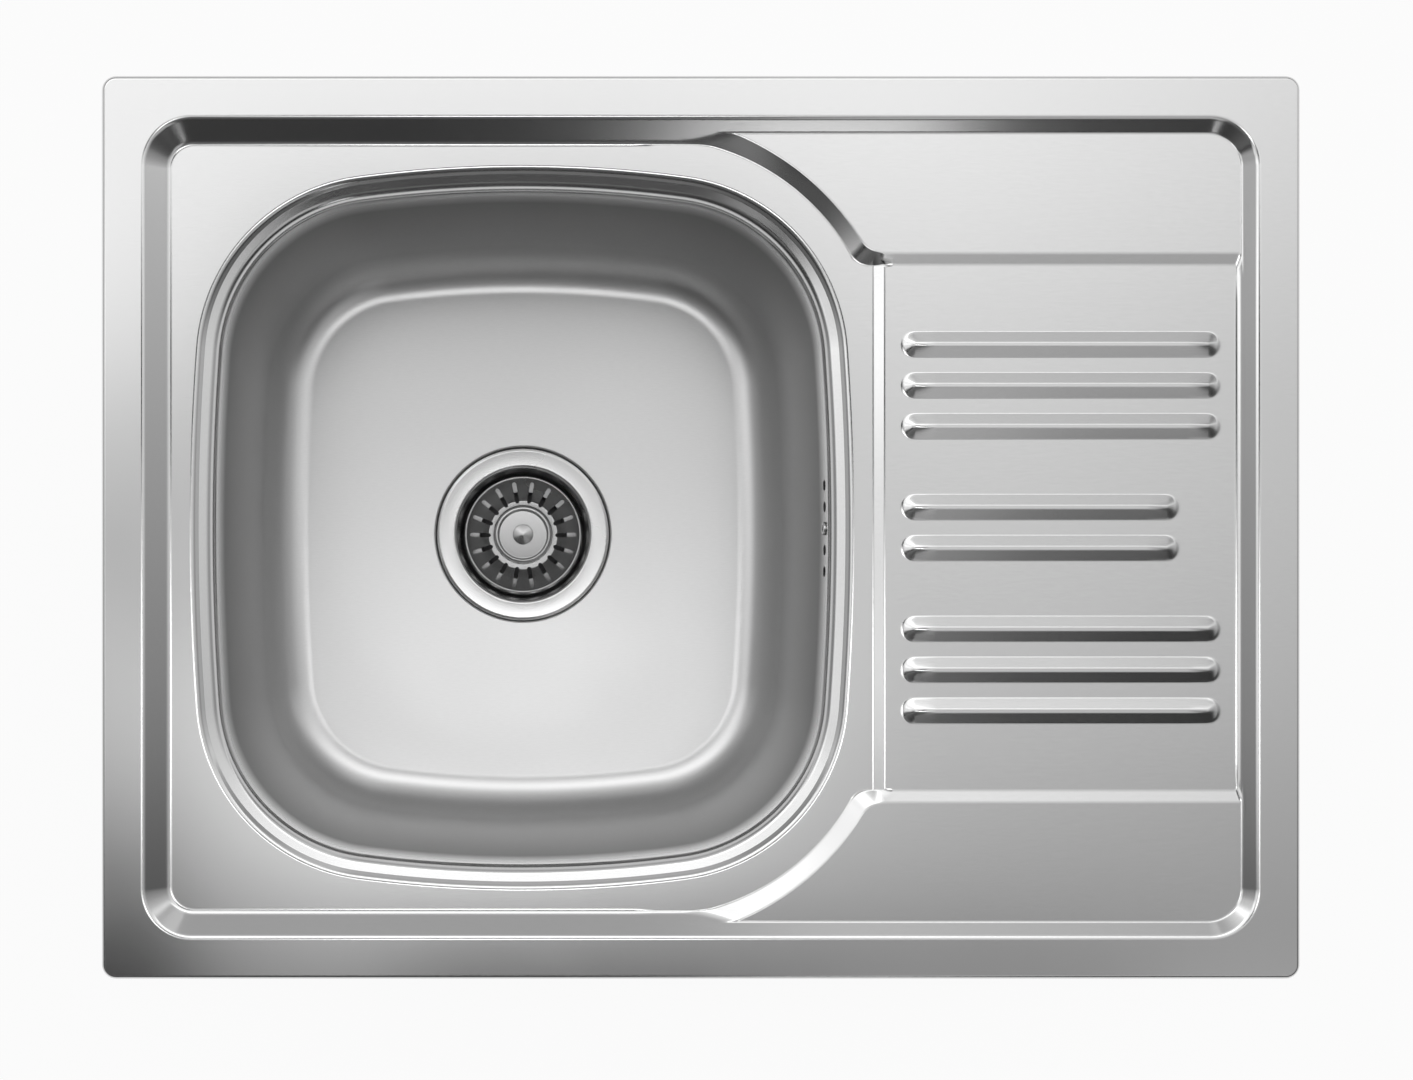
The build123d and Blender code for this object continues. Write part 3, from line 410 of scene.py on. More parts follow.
def bowl_distance(points, s):
    """Distance outside the bowl outline at the wall's top."""
    side, corner, end = bowl_arcs(s)[:3]
    q = np.abs(points - (s.bowl_x, 0))
    turn = np.arctan2(q[:, 1] - corner[0][1], q[:, 0] - corner[0][0])
    from_side = np.hypot(q[:, 0] - side[0][0], q[:, 1]) - side[1]
    from_corner = np.hypot(q[:, 0] - corner[0][0], q[:, 1] - corner[0][1]) - corner[1]
    from_end = np.hypot(q[:, 0], q[:, 1] - end[0][1]) - end[1]
    away = np.where(turn < corner[2], from_side, from_corner)
    return np.where(turn > end[2], from_end, away)


def rounded_path(points, radii, steps):
    """Rows of (across, up, normal across, normal up) along a path whose corners are rounded.
    The path runs with its outer side on the right of its direction."""
    points = np.array(points, float)
    legs = np.diff(points, axis=0)
    legs /= np.linalg.norm(legs, axis=1)[:, None]
    sides = np.column_stack((legs[:, 1], -legs[:, 0]))
    rows = [(*points[0], *sides[0])]
    for k in range(1, len(points) - 1):
        before, after = legs[k - 1], legs[k]
        radius = radii.get(k, 0)
        bend = math.acos(np.clip(before @ after, -1, 1))
        if not radius or bend < ON_LINE:
            side = sides[k - 1] + sides[k]
            rows.append((*points[k], *(side / np.linalg.norm(side))))
            continue
        start = points[k] - before * radius * math.tan(bend / 2)
        hand = np.sign(before[0] * after[1] - before[1] * after[0])
        to_centre = hand * np.array((-before[1], before[0])) * radius
        centre = start + to_centre
        count = steps.get(k, BEND_STEPS)
        for j in range(count + 1):
            turn = hand * bend * j / count
            c, n = math.cos(turn), math.sin(turn)
            spoke = -to_centre
            spoke = np.array((spoke[0] * c - spoke[1] * n, spoke[0] * n + spoke[1] * c))
            normal = spoke / radius * hand
            rows.append((*(centre + spoke), *normal))
    rows.append((*points[-1], *sides[-1]))
    rows = np.array(rows)
    apart = np.linalg.norm(np.diff(rows[:, :2], axis=0), axis=1) > SAME_POINT
    return rows[np.concatenate(([True], apart))]


class Plan:
    """Points and lines of a flat layout that is cut into triangles."""

    def __init__(self):
        self.points = []
        self.edges = []

    def add(self, points, closed, keep=None):
        """Adds a line, broken where keep is false, and returns the index of each point."""
        index = []
        for k, point in enumerate(points):
            if keep is not None and not keep[k]:
                index.append(-1)
                continue
            index.append(len(self.points))
            self.points.append(Vector(point))
        count = len(points)
        for k in range(count if closed else count - 1):
            a, b = index[k], index[(k + 1) % count]
            if a >= 0 and b >= 0:
                self.edges.append((a, b))
        return index

    def triangles(self):
        """Points, triangles, and where each given point went."""
        result = delaunay_2d_cdt(self.points, self.edges, [], 0, SAME_POINT, True)
        points = np.array([tuple(p) for p in result[0]])
        place = {}
        for new, olds in enumerate(result[3]):
            for old in olds:
                place[old] = new
        return points, np.array(result[2]), place


def wing_line(s, share):
    """The wing's edge from the drainer's far end to the back, at a share of the way down to the deck."""
    straight_points, corner_points, arc_points = 30, 14, 40
    top, arc, shift, shrink = wing_edges(s)
    centre = top + share * shift
    arc += share * shrink
    grow = share * s.wing_run
    corner = s.wing_corner + grow
    round_y = s.wing_edge + s.wing_corner
    round_x = centre[0] + math.sqrt((arc + corner) ** 2 - (round_y - centre[1]) ** 2)
    start = math.atan2(round_y - centre[1], round_x - centre[0])
    far = s.half_x - s.rim_flat
    line = [(x, s.wing_edge - grow) for x in np.linspace(far, round_x, straight_points)[:-1]]
    for turn in np.linspace(1.5 * math.pi, math.pi + start, corner_points)[:-1]:
        line.append((round_x + corner * math.cos(turn), round_y + corner * math.sin(turn)))
    for turn in np.linspace(start, s.wing_arc_end, arc_points):
        line.append((centre[0] + arc * math.cos(turn), centre[1] + arc * math.sin(turn)))
    return np.array(line)


def rim_columns(s):
    """Centres and directions of points round the rim."""
    return box_columns(s.half_x - s.rim_corner, s.half_y - s.rim_corner, RIM_TURN, RUN_STEP)


def deck_plan(s, reach):
    """Layout of the rim, the slope, the deck, the wings, the drainer and its ribs."""
    plan = Plan()
    centres, ways = rim_columns(s)
    rim_loop = plan.add(centres + ways * (s.rim_corner - s.rim_edge), True)
    outline, bowl_ways = bowl_columns(s)
    bowl_loop = plan.add(outline + bowl_ways * reach, True)
    pocket = (s.half_x - s.rim_flat, s.half_y - s.rim_flat)
    core = (pocket[0] - s.pocket_corner, pocket[1] - s.pocket_corner)
    centres, ways = box_columns(*core, POCKET_TURN, RUN_STEP)
    for out in SLOPE_LINES:
        plan.add(centres + ways * (s.pocket_corner + out), True)
    for share in WING_LINES:
        line = wing_line(s, share)
        keep = box_distance(line, pocket, s.pocket_corner) < -WING_MARGIN
        for side in (1, -1):
            plan.add(line * (1, side), False, keep)
    rows = np.linspace(-s.wing_edge, s.wing_edge, STEP_ROWS)
    start = s.drainer_edge - s.drainer_run - STEP_MARGIN
    for x in np.arange(start, s.drainer_edge + STEP_MARGIN, STEP_LINE):
        line = np.column_stack((np.full(len(rows), x), rows))
        plan.add(line, False, wing_drop(line, s) > STEP_CLEAR)
    crest = s.rib_crest / 2
    foot = s.rib_width / 2
    levels = [crest + b for b in RIB_BENDS]
    levels += list(np.arange(RIB_FLANK, foot - RIB_FLANK_END, RIB_FLANK_LINE))
    levels += [foot + b for b in (*RIB_BENDS, *RIB_OUTSIDE)]
    for rib_length, rib_y in rib_rows(s):
        middle = s.rib_start + rib_length / 2
        centres, ways = box_columns((rib_length - s.rib_width) / 2, 0, RIB_TURN, RUN_STEP)
        for level in levels:
            for side in (1, -1):
                plan.add(centres + ways * level + (middle, side * rib_y), True)
    return plan, rim_loop, bowl_loop


def overflow_holes(s):
    """Place along the wall and radius of each overflow hole and of the screw's hole."""
    holes = [(k * s.overflow_pitch, s.overflow_hole) for k in (-2, -1, 1, 2)]
    return holes + [(0.0, s.screw_hole)]


class Surface:
    """One side of a sheet: points, outward normals and faces."""

    def __init__(self, points, normals, faces):
        self.points = [np.asarray(points)]
        self.normals = [np.asarray(normals)]
        self.faces = [tuple(int(v) for v in face) for face in faces]
        self.count = len(points)

    def add(self, points, normals):
        """Adds points and returns their indices."""
        self.points.append(np.asarray(points))
        self.normals.append(np.asarray(normals))
        first = self.count
        self.count += len(points)
        return list(range(first, self.count))

    def ring(self, flat, z, ways, side, up):
        """Adds a level ring of points whose normals lean sideways along the ways and up."""
        normals = np.column_stack((ways * side, np.full(len(ways), up)))
        return self.add(np.column_stack((flat, np.full(len(ways), z))), normals)

    def stitch(self, outer, inner, skip=()):
        """Joins two loops of points by quads that face along the normals."""
        count = len(outer)
        for k in range(count):
            if k not in skip:
                n = (k + 1) % count
                self.faces.append((outer[k], outer[n], inner[n], inner[k]))

    def solid(self, thickness, cut=None):
        """Points, faces and corner normals of the sheet, closed along its edges.
        Edges for which cut is true are left open."""
        points = np.concatenate(self.points)
        normals = np.concatenate(self.normals)
        used = np.unique([v for face in self.faces for v in face])
        place = np.full(len(points), -1)
        place[used] = np.arange(len(used))
        points, normals = points[used], normals[used]
        faces = []
        for face in self.faces:
            face = [int(place[v]) for v in face]
            a, b, c = points[face[0]], points[face[1]], points[face[2]]
            if np.dot(np.cross(b - a, c - a), normals[face].sum(axis=0)) < 0:
                face.reverse()
            faces.append(tuple(face))
        sides = {(face[k - 1], face[k]) for face in faces for k in range(len(face))}
        count = len(points)
        corners = [normals[v] for face in faces for v in face]
        under = [tuple(v + count for v in reversed(face)) for face in faces]
        corners += [-normals[v - count] for face in under for v in face]
        low = points - normals * thickness
        strips = []
        for a, b in sorted(sides):
            if (b, a) in sides or (cut and cut(points[a], points[b])):
                continue
            strips.append((b, a, a + count, b + count))
            side = np.cross(points[a] - points[b], low[b] - points[b])
            corners += [side / np.linalg.norm(side)] * 4
        return np.concatenate((points, low)), faces + under + strips, corners


def pressing_surface(s):
    """Top side of the pressed sheet."""
    reach = s.ledge_width + s.ledge_step_run + DECK_MARGIN
    plan, rim_loop, bowl_loop = deck_plan(s, reach)
    flat, triangles, place = plan.triangles()
    keep = bowl_distance(flat[triangles].mean(axis=1), s) > reach
    height = lambda p: pressed_height(p, s)
    surface = Surface(
        np.column_stack((flat, height(flat))), height_normals(flat, height), triangles[keep]
    )
    rim_lip(surface, s, [place[k] for k in rim_loop])
    bowl(surface, s, [place[k] for k in bowl_loop], reach)
    return surface


def rim_lip(surface, s, loop):
    """Turned-down edge of the rim."""
    centres, ways = rim_columns(s)
    path = [(s.rim_corner, s.lip_z), (s.rim_corner, s.rim_z), (s.rim_corner - s.rim_edge, s.rim_z)]
    inner = loop
    for out, z, side, up in rounded_path(path, {1: s.rim_edge}, {1: 8})[-2::-1]:
        outer = surface.ring(centres + ways * out, z, ways, side, up)
        surface.stitch(inner, outer)
        inner = outer


def bowl(surface, s, loop, reach):
    """Ledge, wall, floor and drain recess of the bowl."""
    ledge_z = s.deck_z - s.ledge_step_drop
    wall_z = ledge_z - s.ledge_fall
    lean = math.tan(s.bowl_draft)
    step = s.ledge_width + s.ledge_step_run
    path = [(reach, s.deck_z), (step, s.deck_z), (s.ledge_width, ledge_z), (0, wall_z)]
    radii = {1: s.ledge_bend, 2: s.ledge_foot, 3: s.bowl_roll}
    steps = {1: 8, 2: 6, 3: 14}
    patch = [s.overflow_z + k * PATCH_ROW for k in (2, 1, 0, -1, -2)]
    foot = s.floor_z + s.floor_fillet + WALL_FOOT
    walls = patch + list(np.linspace(patch[-1] - WALL_TOP, foot, WALL_ROWS))
    path += [((z - wall_z) * lean, z) for z in walls]
    radii[len(path)] = s.floor_fillet
    steps[len(path)] = FILLET_STEPS
    corner = (s.floor_z - wall_z) * lean
    tangent = s.floor_fillet * math.tan((math.pi / 2 - s.bowl_draft) / 2)
    path += [(corner, s.floor_z), (corner - tangent - FLOOR_EDGE, s.floor_z)]
    outline, ways = bowl_columns(s)
    rows = rounded_path(path, radii, steps)
    high, low = (int(np.argmin(np.abs(rows[:, 1] - z))) for z in (patch[0], patch[-1]))
    columns = [k for k in range(SIDE_STEPS) if abs(outline[k, 1]) < PATCH_HALF]
    loops = [loop]
    for k, (grow, z, side, up) in enumerate(rows[1:], 1):
        loops.append(surface.ring(outline + ways * grow, z, ways, side, up))
        skip = set(columns[:-1]) if high < k <= low else ()
        surface.stitch(loops[-2], loops[-1], skip)
    overflow_patch(surface, s, loops, columns, high, low, wall_z, lean)
    edge = outline + ways * rows[-1][0]
    middle = np.array((s.bowl_x, 0))
    spokes = edge - middle
    spokes /= np.linalg.norm(spokes, axis=1)[:, None]
    ring_radius = s.recess_radius + RECESS_MARGIN
    last = loops[-1]
    for t in np.linspace(0, 1, FLOOR_RINGS + 1)[1:]:
        flat = edge * (1 - t) + (middle + spokes * ring_radius) * t
        here = surface.ring(flat, s.floor_z, spokes, 0.0, 1.0)
        surface.stitch(last, here)
        last = here
    low_z = s.floor_z - s.recess_depth
    path = [
        (ring_radius, s.floor_z),
        (s.recess_radius, s.floor_z),
        (s.recess_radius - s.recess_run, low_z),
        (s.drain_hole, low_z),
    ]
    radii = {1: s.recess_bend, 2: s.recess_foot}
    for radius, z, side, up in rounded_path(path, radii, {1: 7, 2: 5})[1:]:
        here = surface.ring(middle + spokes * radius, z, spokes, side, up)
        surface.stitch(last, here)
        last = here


def overflow_patch(surface, s, loops, columns, high, low, wall_z, lean):
    """Piece of the drainer-side wall with the overflow holes cut out of it."""
    border = [loops[high][c] for c in columns]
    border += [loops[k][columns[-1]] for k in range(high + 1, low + 1)]
    border += [loops[low][c] for c in reversed(columns[:-1])]
    border += [loops[k][columns[0]] for k in range(low - 1, high, -1)]
    points = np.concatenate(surface.points)
    plan = Plan()
    given = plan.add(points[border][:, 1:], True)
    holes = overflow_holes(s)
    turns = np.linspace(0, 2 * math.pi, HOLE_POINTS + 1)[:-1]
    for y, radius in holes:
        edge = (y + radius * np.cos(turns), s.overflow_z + radius * np.sin(turns))
        plan.add(np.column_stack(edge), True)
    flat, triangles, place = plan.triangles()
    middles = flat[triangles].mean(axis=1)
    keep = np.ones(len(triangles), bool)
    for y, radius in holes:
        keep &= np.hypot(middles[:, 0] - y, middles[:, 1] - s.overflow_z) > radius * HOLE_SHARE
    a, b, c = (flat[triangles[:, k]] for k in range(3))
    area = np.abs((b - a)[:, 0] * (c - a)[:, 1] - (b - a)[:, 1] * (c - a)[:, 0])
    keep &= area > LEAST_AREA
    centre_x = s.bowl_x + s.bowl_half_x - s.side_arc
    radius = s.side_arc + (flat[:, 1] - wall_z) * lean
    across = np.sqrt(radius**2 - flat[:, 0] ** 2)
    wall = np.column_stack((centre_x + across, flat[:, 0], flat[:, 1]))
    ways = np.column_stack((across / radius, flat[:, 0] / radius))
    tilt = math.cos(s.bowl_draft)
    normals = np.column_stack((-ways * tilt, np.full(len(flat), math.sin(s.bowl_draft))))
    index = surface.add(wall, normals)
    for new, old in zip(given, border):
        index[place[new]] = old
    surface.faces += [tuple(index[v] for v in face) for face in triangles[keep]]


class StrainerSizes(PropertyGroup):
    """Sizes of the strainer cup, the basket and the plug's knob, in metres."""

    flange_radius: length("Flange radius", "Outer edge of the cup's flange", 0.055)
    flange_z: length("Flange height", "Top of the flange", FLANGE_HIGH.z)
    flange_drop: length("Flange drop", "How much lower the flange's edge is", 0.0005)
    flange_bevel: length("Flange bevel", "Width of the flange's sloped edge", 0.0014)
    flange_bend: length("Flange bend", "Radius at that edge", 0.0016)
    cup_sheet: length("Cup sheet", "Thickness of the cup", 0.001)
    cup_radius: length("Cup radius", "Cup at its mouth", 0.0426)
    cup_taper: length("Cup taper", "How much narrower the cup is at its floor", 0.0014)
    cup_depth: length("Cup depth", "From flange to floor", 0.034)
    cup_roll: length("Cup roll", "Radius at the mouth", 0.0026)
    cup_floor_roll: length("Cup floor roll", "Radius at the floor", 0.004)
    screw_hole: length("Screw hole", "Radius of the hole in the floor", 0.0064)
    port_inner: length("Port start", "Inner edge of the drain ports", 0.012)
    port_outer: length("Port end", "Outer edge of the drain ports", 0.023)
    port_angle: angle("Port angle", "Angle that one port covers", 42)
    ports: IntProperty(name="Ports", description="Drain ports in the floor", default=6, min=3)
    basket_sheet: length("Basket sheet", "Thickness of the basket", 0.0008)
    basket_z: length("Basket floor", "Underside of the basket", BASKET_LOW.z)
    basket_hole: length("Basket hole", "Radius of the hole for the spindle", 0.00408)
    basket_floor: length("Basket floor radius", "Where the wall begins", 0.0235)
    basket_rim: length("Basket rim radius", "Outer edge of the wall", 0.0376)
    basket_height: length("Basket height", "Height of the wall", 0.0155)
    basket_bead: length("Basket bead", "Radius of the rim's bead", 0.0009)
    basket_bend: length("Basket bend", "Radius between floor and wall", 0.0013)
    slots: IntProperty(name="Slots", description="Slots round the basket", default=18, min=6)
    slot_width: length("Slot width", "Width of a slot", 0.0027)
    slot_inner: length("Slot start", "Inner end of a slot", 0.0212)
    slot_outer: length("Slot end", "Outer end of a slot", 0.0346)
    knob_radius: length("Knob radius", "Edge of the knob", 0.0192)
    knob_edge: length("Knob edge", "Radius of the knob's edge", 0.0026)
    knob_top: length("Knob top", "Height of the knob's ring", KNOB_HIGH.z)
    knob_low: length("Knob underside", "Underside of the knob's hub", KNOB_LOW.z)
    knob_thick: length("Knob thickness", "Thickness at the edge", 0.006)
    knob_dish: length("Knob dish", "Depth of the dished face", 0.001)
    knob_dish_radius: length("Dish radius", "Radius of the dished face", 0.0164)
    knob_bend: length("Knob bend", "Radius at the ring's inner edge", 0.0008)
    knob_dish_bend: length("Dish bend", "Radius at the foot of the ring", 0.0010)
    knob_hub: length("Knob hub", "Radius of the hub", 0.009)
    spindle_radius: length("Spindle radius", "Radius of the spindle", 0.004)
    spindle_bevel: length("Spindle bevel", "Bevel at the spindle's lower end", 0.001)
    collar_radius: length("Collar radius", "Radius of the spindle's collar", 0.007)
    collar_rise: length("Collar rise", "Top of the collar over the cup's floor", 0.006)
    collar_thick: length("Collar thickness", "Thickness of the collar", 0.0014)
    button_radius: length("Button radius", "Button on the knob", 0.0066)
    button_tip: length("Button tip", "Flat on the button", 0.0005)
    button_cone: length("Button cone", "Height of the button's cone", 0.0017)
    button_height: length("Button height", "Height over the dish", 0.0034)
    button_bend: length("Button bend", "Radius of the button's edges", 0.0004)


class FixingSizes(PropertyGroup):
    """Sizes of the clips' bolts and of the waste outlet, in metres."""

    bolt_radius: length("Bolt radius", "Outside of the clip bolts' thread", 0.003)
    bolt_flats: length("Bolt flats", "Across the bolt head's flats", 0.010)
    bolt_head: length("Bolt head", "Height of the bolt head", 0.004)
    bolt_length: length("Bolt length", "Length of the shank", 0.063)
    bolt_pitch: length("Bolt pitch", "Pitch of the bolts' thread", 0.0010)
    nut_to_seat: length("Nut to seat", "From a nut's top at rest up to its bolt's seat", 0.0485)
    outlet_radius: length("Outlet radius", "Outside of the outlet's thread", 0.0239)
    outlet_pitch: length("Outlet pitch", "Pitch of the outlet's thread", 0.0023)
    outlet_bore: length("Outlet bore", "Radius of the outlet's bore", 0.0195)
    outlet_wall: length("Outlet wall", "Thickness of the funnel's wall", 0.0034)
    outlet_length: length("Outlet length", "From the funnel to the outlet's end", 0.024)
    outlet_shoulder: length("Outlet shoulder", "Plain collar over the thread", 0.002)
    outlet_bevel: length("Outlet bevel", "Slope under that collar", 0.001)
    outlet_thread: length("Outlet thread", "Length of the thread", 0.017)
    outlet_start: length("Outlet start", "From the outlet's end to the thread", 0.002)
    funnel_edge: length("Funnel edge", "Radius at the funnel's upper edge", 0.001)
    funnel_bend: length("Funnel bend", "Radius between funnel and outlet", 0.003)


class FinishColours(PropertyGroup):
    """Colours of the finishes."""

    satin_steel: colour("Satin steel", "Pressed sink", (0.74, 0.74, 0.74))
    strainer_steel: colour("Strainer steel", "Strainer, basket and knob", (0.72, 0.72, 0.72))
    plated_steel: colour("Plated steel", "Clips and bolts", (0.62, 0.63, 0.65))
    seal_foam: colour("Seal foam", "Rim seal", (0.06, 0.06, 0.065))
    soft_rubber: colour("Soft rubber", "Gaskets and plug seal", (0.03, 0.03, 0.032))
    pad_bitumen: colour("Pad bitumen", "Sound pads", (0.075, 0.075, 0.08))
    grey_plastic: colour("Grey plastic", "Waste body and overflow housing", (0.20, 0.205, 0.215))
    white_plastic: colour("White plastic", "Overflow pipe", (0.72, 0.72, 0.70))
    insert_brass: colour("Insert brass", "Screw insert", (0.75, 0.58, 0.28))
    floor: colour("Floor", "Pale floor under the sink", (0.9, 0.9, 0.9))


class StageSizes(PropertyGroup):
    """Camera and light."""

    camera_x: length("Camera X", "Camera place", -0.0933)
    camera_y: length("Camera Y", "Camera place", -0.024)
    camera_z: length("Camera Z", "Camera place", 0.855)
    lens: FloatProperty(name="Lens", description="Focal length in millimetres", default=40.0)
    shift_x: FloatProperty(name="Shift X", description="Sideways shift of the picture", default=0.1258)
    shift_y: FloatProperty(name="Shift Y", description="Upward shift of the picture", default=0.0224)
    floor_size: length("Floor size", "Width of the floor", 9.0)
    light: FloatProperty(name="Light", description="Strength of the surrounding light", default=1.0)


def settings(context):
    return context.scene.sink_part


def make_piece(name, points, faces, material, corners=None):
    """New object at the origin with its place in its mesh."""
    mesh = bpy.data.meshes.new(name)
    mesh.from_pydata([tuple(p) for p in points], [], [tuple(f) for f in faces])
    mesh.polygons.foreach_set("use_smooth", np.ones(len(mesh.polygons), bool))
    if corners is not None:
        mesh.normals_split_custom_set([tuple(n) for n in corners])
    mesh.materials.append(material)
    piece = bpy.data.objects.new(name, mesh)
    bpy.context.scene.collection.objects.link(piece)
    return piece


def place_piece(piece, body, slot, *nodes):
    """Ties a finished piece to its body and hides the CAD nodes it stands for; the slot it is given is not
    used.
    """
    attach(piece, body)
    if nodes:
        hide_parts(*nodes)


def turned_piece(name, path, radii, steps, sides, material, centre):
    """Turned piece from a closed path of (radius, height) that runs with its outer side on the right."""
    count = len(path)
    path = list(path) + [path[0], path[1]]
    radii = {k or count: radius for k, radius in radii.items()}
    steps = {k or count: number for k, number in steps.items()}
    rows = rounded_path(path, radii, steps)[1:-1, :2]
    keep = [0] + [k for k in range(1, len(rows)) if np.linalg.norm(rows[k] - rows[k - 1]) > SAME_POINT]
    rows = rows[keep]
    if np.linalg.norm(rows[0] - rows[-1]) < SAME_POINT:
        rows = rows[:-1]
    points = []
    loops = []
    for radius, z in rows:
        if radius < SAME_POINT:
            loops.append([len(points)] * sides)
            points.append((centre[0], centre[1], z))
            continue
        loops.append(list(range(len(points), len(points) + sides)))
        for k in range(sides):
            turn = 2 * math.pi * k / sides
            points.append((centre[0] + radius * math.cos(turn), centre[1] + radius * math.sin(turn), z))
    faces = []
    for k in range(len(loops)):
        a, b = loops[k], loops[(k + 1) % len(loops)]
        for j in range(sides):
            n = (j + 1) % sides
            face = list(dict.fromkeys((a[j], a[n], b[n], b[j])))
            if len(face) > 2:
                faces.append(face)
    piece = make_piece(name, points, faces, material)
    piece.data.set_sharp_from_angle(angle=TURNED_SHARP)
    return piece


class Nodes:
    """Short way to add and join the nodes of one tree."""

    def __init__(self, tree):
        self.tree = tree
        self.link = tree.links.new

    def add(self, kind, inputs=None, **values):
        node = self.tree.nodes.new(kind)
        for key, value in values.items():
            setattr(node, key, value)
        for key, value in (inputs or {}).items():
            if isinstance(value, bpy.types.NodeSocket):
                self.link(value, node.inputs[key])
            else:
                node.inputs[key].default_value = value
        return node

    def math(self, operation, a, b=0.0):
        return self.add("ShaderNodeMath", {0: a, 1: b}, operation=operation).outputs[0]

    def vector(self, operation, a, b=(0.0, 0.0, 0.0)):
        node = self.add("ShaderNodeVectorMath", {0: a, 1: b}, operation=operation)
        return node.outputs["Value" if operation in ("LENGTH", "DISTANCE") else "Vector"]

    def ramp(self, value, start, end, low=0.0, high=1.0, **values):
        """Goes from low to high while the value goes from start to end."""
        span = {"Value": value, "From Min": start, "From Max": end, "To Min": low, "To Max": high}
        return self.add("ShaderNodeMapRange", span, **values).outputs[0]

    def group(self, tree, inputs):
        return self.add("ShaderNodeGroup", inputs, node_tree=tree).outputs[0]


def kept_tree(name):
    """Wraps a function that builds a node tree, so that it is built once and then found by its name."""

    def wrap(build):
        return lambda: bpy.data.node_groups.get(name) or build(name)

    return wrap


def new_group(name, kind, inputs, outputs):
    """New node group with sockets given as {label: type}; returns its nodes, inputs and outputs."""
    tree = bpy.data.node_groups.new(name, kind + "NodeTree")
    for in_out, sockets in (("INPUT", inputs), ("OUTPUT", outputs)):
        for label, socket in sockets.items():
            tree.interface.new_socket(name=label, in_out=in_out, socket_type="NodeSocket" + socket)
    nodes = Nodes(tree)
    return nodes, tree.nodes.new("NodeGroupInput").outputs, tree.nodes.new("NodeGroupOutput").inputs


@kept_tree("Fine grain")
def grain_group(name):
    """Fine grain stretched along one way, as rolling or moulding leaves it."""
    inputs = {"Vector": "Vector", "Stretch": "Vector", "Scale": "Float", "Detail": "Float"}
    nodes, given, result = new_group(name, "Shader", inputs, {"Grain": "Float"})
    stretched = nodes.vector("MULTIPLY", given["Vector"], given["Stretch"])
    noise = nodes.add(
        "ShaderNodeTexNoise", {"Vector": stretched, "Scale": given["Scale"], "Detail": given["Detail"]}
    )
    nodes.link(noise.outputs[0], result["Grain"])
    return nodes.tree


@kept_tree("Handling")
def handling_group(name):
    """Broad, soft patches where a surface has been wiped or touched."""
    detail, twist, start, end = 4.0, 0.4, 0.3, 0.7
    inputs = {"Vector": "Vector", "Scale": "Float", "Low": "Float", "High": "Float"}
    nodes, given, result = new_group(name, "Shader", inputs, {"Value": "Float"})
    noise = nodes.add(
        "ShaderNodeTexNoise",
        {"Vector": given["Vector"], "Scale": given["Scale"], "Detail": detail, "Distortion": twist},
    )
    nodes.link(nodes.ramp(noise.outputs[0], start, end, given["Low"], given["High"]), result["Value"])
    return nodes.tree


@kept_tree("Turning marks")
def turning_group(name):
    """Fine rings round an upright axis, as a lathe leaves them."""
    detail = 2.0
    inputs = {"Vector": "Vector", "Axis": "Vector", "Scale": "Float"}
    nodes, given, result = new_group(name, "Shader", inputs, {"Rings": "Float"})
    away = nodes.vector("SUBTRACT", given["Vector"], given["Axis"])
    reach = nodes.vector("LENGTH", nodes.vector("MULTIPLY", away, LEVEL))
    rings = {"W": reach, "Scale": given["Scale"], "Detail": detail}
    noise = nodes.add("ShaderNodeTexNoise", rings, noise_dimensions="1D")
    nodes.link(noise.outputs[0], result["Rings"])
    return nodes.tree


def new_material(name):
    """Empty material with a Principled shader; returns it, its nodes, shader and object coordinates."""
    material = bpy.data.materials.new(name)
    material.use_nodes = True
    material.node_tree.nodes.clear()
    nodes = Nodes(material.node_tree)
    shader = nodes.add("ShaderNodeBsdfPrincipled")
    nodes.add("ShaderNodeOutputMaterial", {"Surface": shader.outputs[0]})
    place = nodes.add("ShaderNodeTexCoord").outputs["Object"]
    return material, nodes, shader, place


def fine_grain(nodes, place, scale, stretch=EVEN, detail=3.0):
    inputs = {"Vector": place, "Stretch": stretch, "Scale": scale, "Detail": detail}
    return nodes.group(grain_group(), inputs)


def shade_between(nodes, value, tint, low, high):
    """Colour between a darker and a lighter tone of a tint, by a value from 0 to 1."""
    tones = {
        "Factor": value,
        "A": (*[c * low for c in tint], 1),
        "B": (*[min(c * high, 1) for c in tint], 1),
    }
    return colour_mix(nodes, tones)


def colour_mix(nodes, inputs, **values):
    """Mix of two colours, A and B."""
    return nodes.add("ShaderNodeMix", inputs, data_type="RGBA", **values).outputs["Result"]


def paint_shade(nodes, tone, mask, amount):
    """Colour darkened by painted shade, by an amount where a mask is 1."""
    kept = nodes.math("SUBTRACT", 1.0, nodes.math("MULTIPLY", mask, amount))
    grey = nodes.add("ShaderNodeCombineColor", {0: kept, 1: kept, 2: kept}).outputs[0]
    return colour_mix(nodes, {"Factor": 1.0, "A": tone, "B": grey}, blend_type="MULTIPLY")


def bowl_roughness_and_painted_shade(nodes, place, tone, rough):
    """Colour and roughness of the bowl: rougher walls with painted shade that darkens them toward the top,
    and a slightly rougher floor.
    """
    height = nodes.add("ShaderNodeSeparateXYZ", {0: place}).outputs["Z"]
    floor = nodes.ramp(height, *FLOOR_SPAN)
    wall = nodes.math("SUBTRACT", nodes.ramp(height, *WALL_SPAN), floor)
    for mask, amount in ((wall, WALL_ROUGH), (floor, FLOOR_ROUGH)):
        rough = nodes.math("ADD", rough, nodes.math("MULTIPLY", mask, amount))
    shade = nodes.math("MULTIPLY", wall, nodes.ramp(height, *SHADE_SPAN))
    return paint_shade(nodes, tone, shade, WALL_PAINTED_SHADE), rough


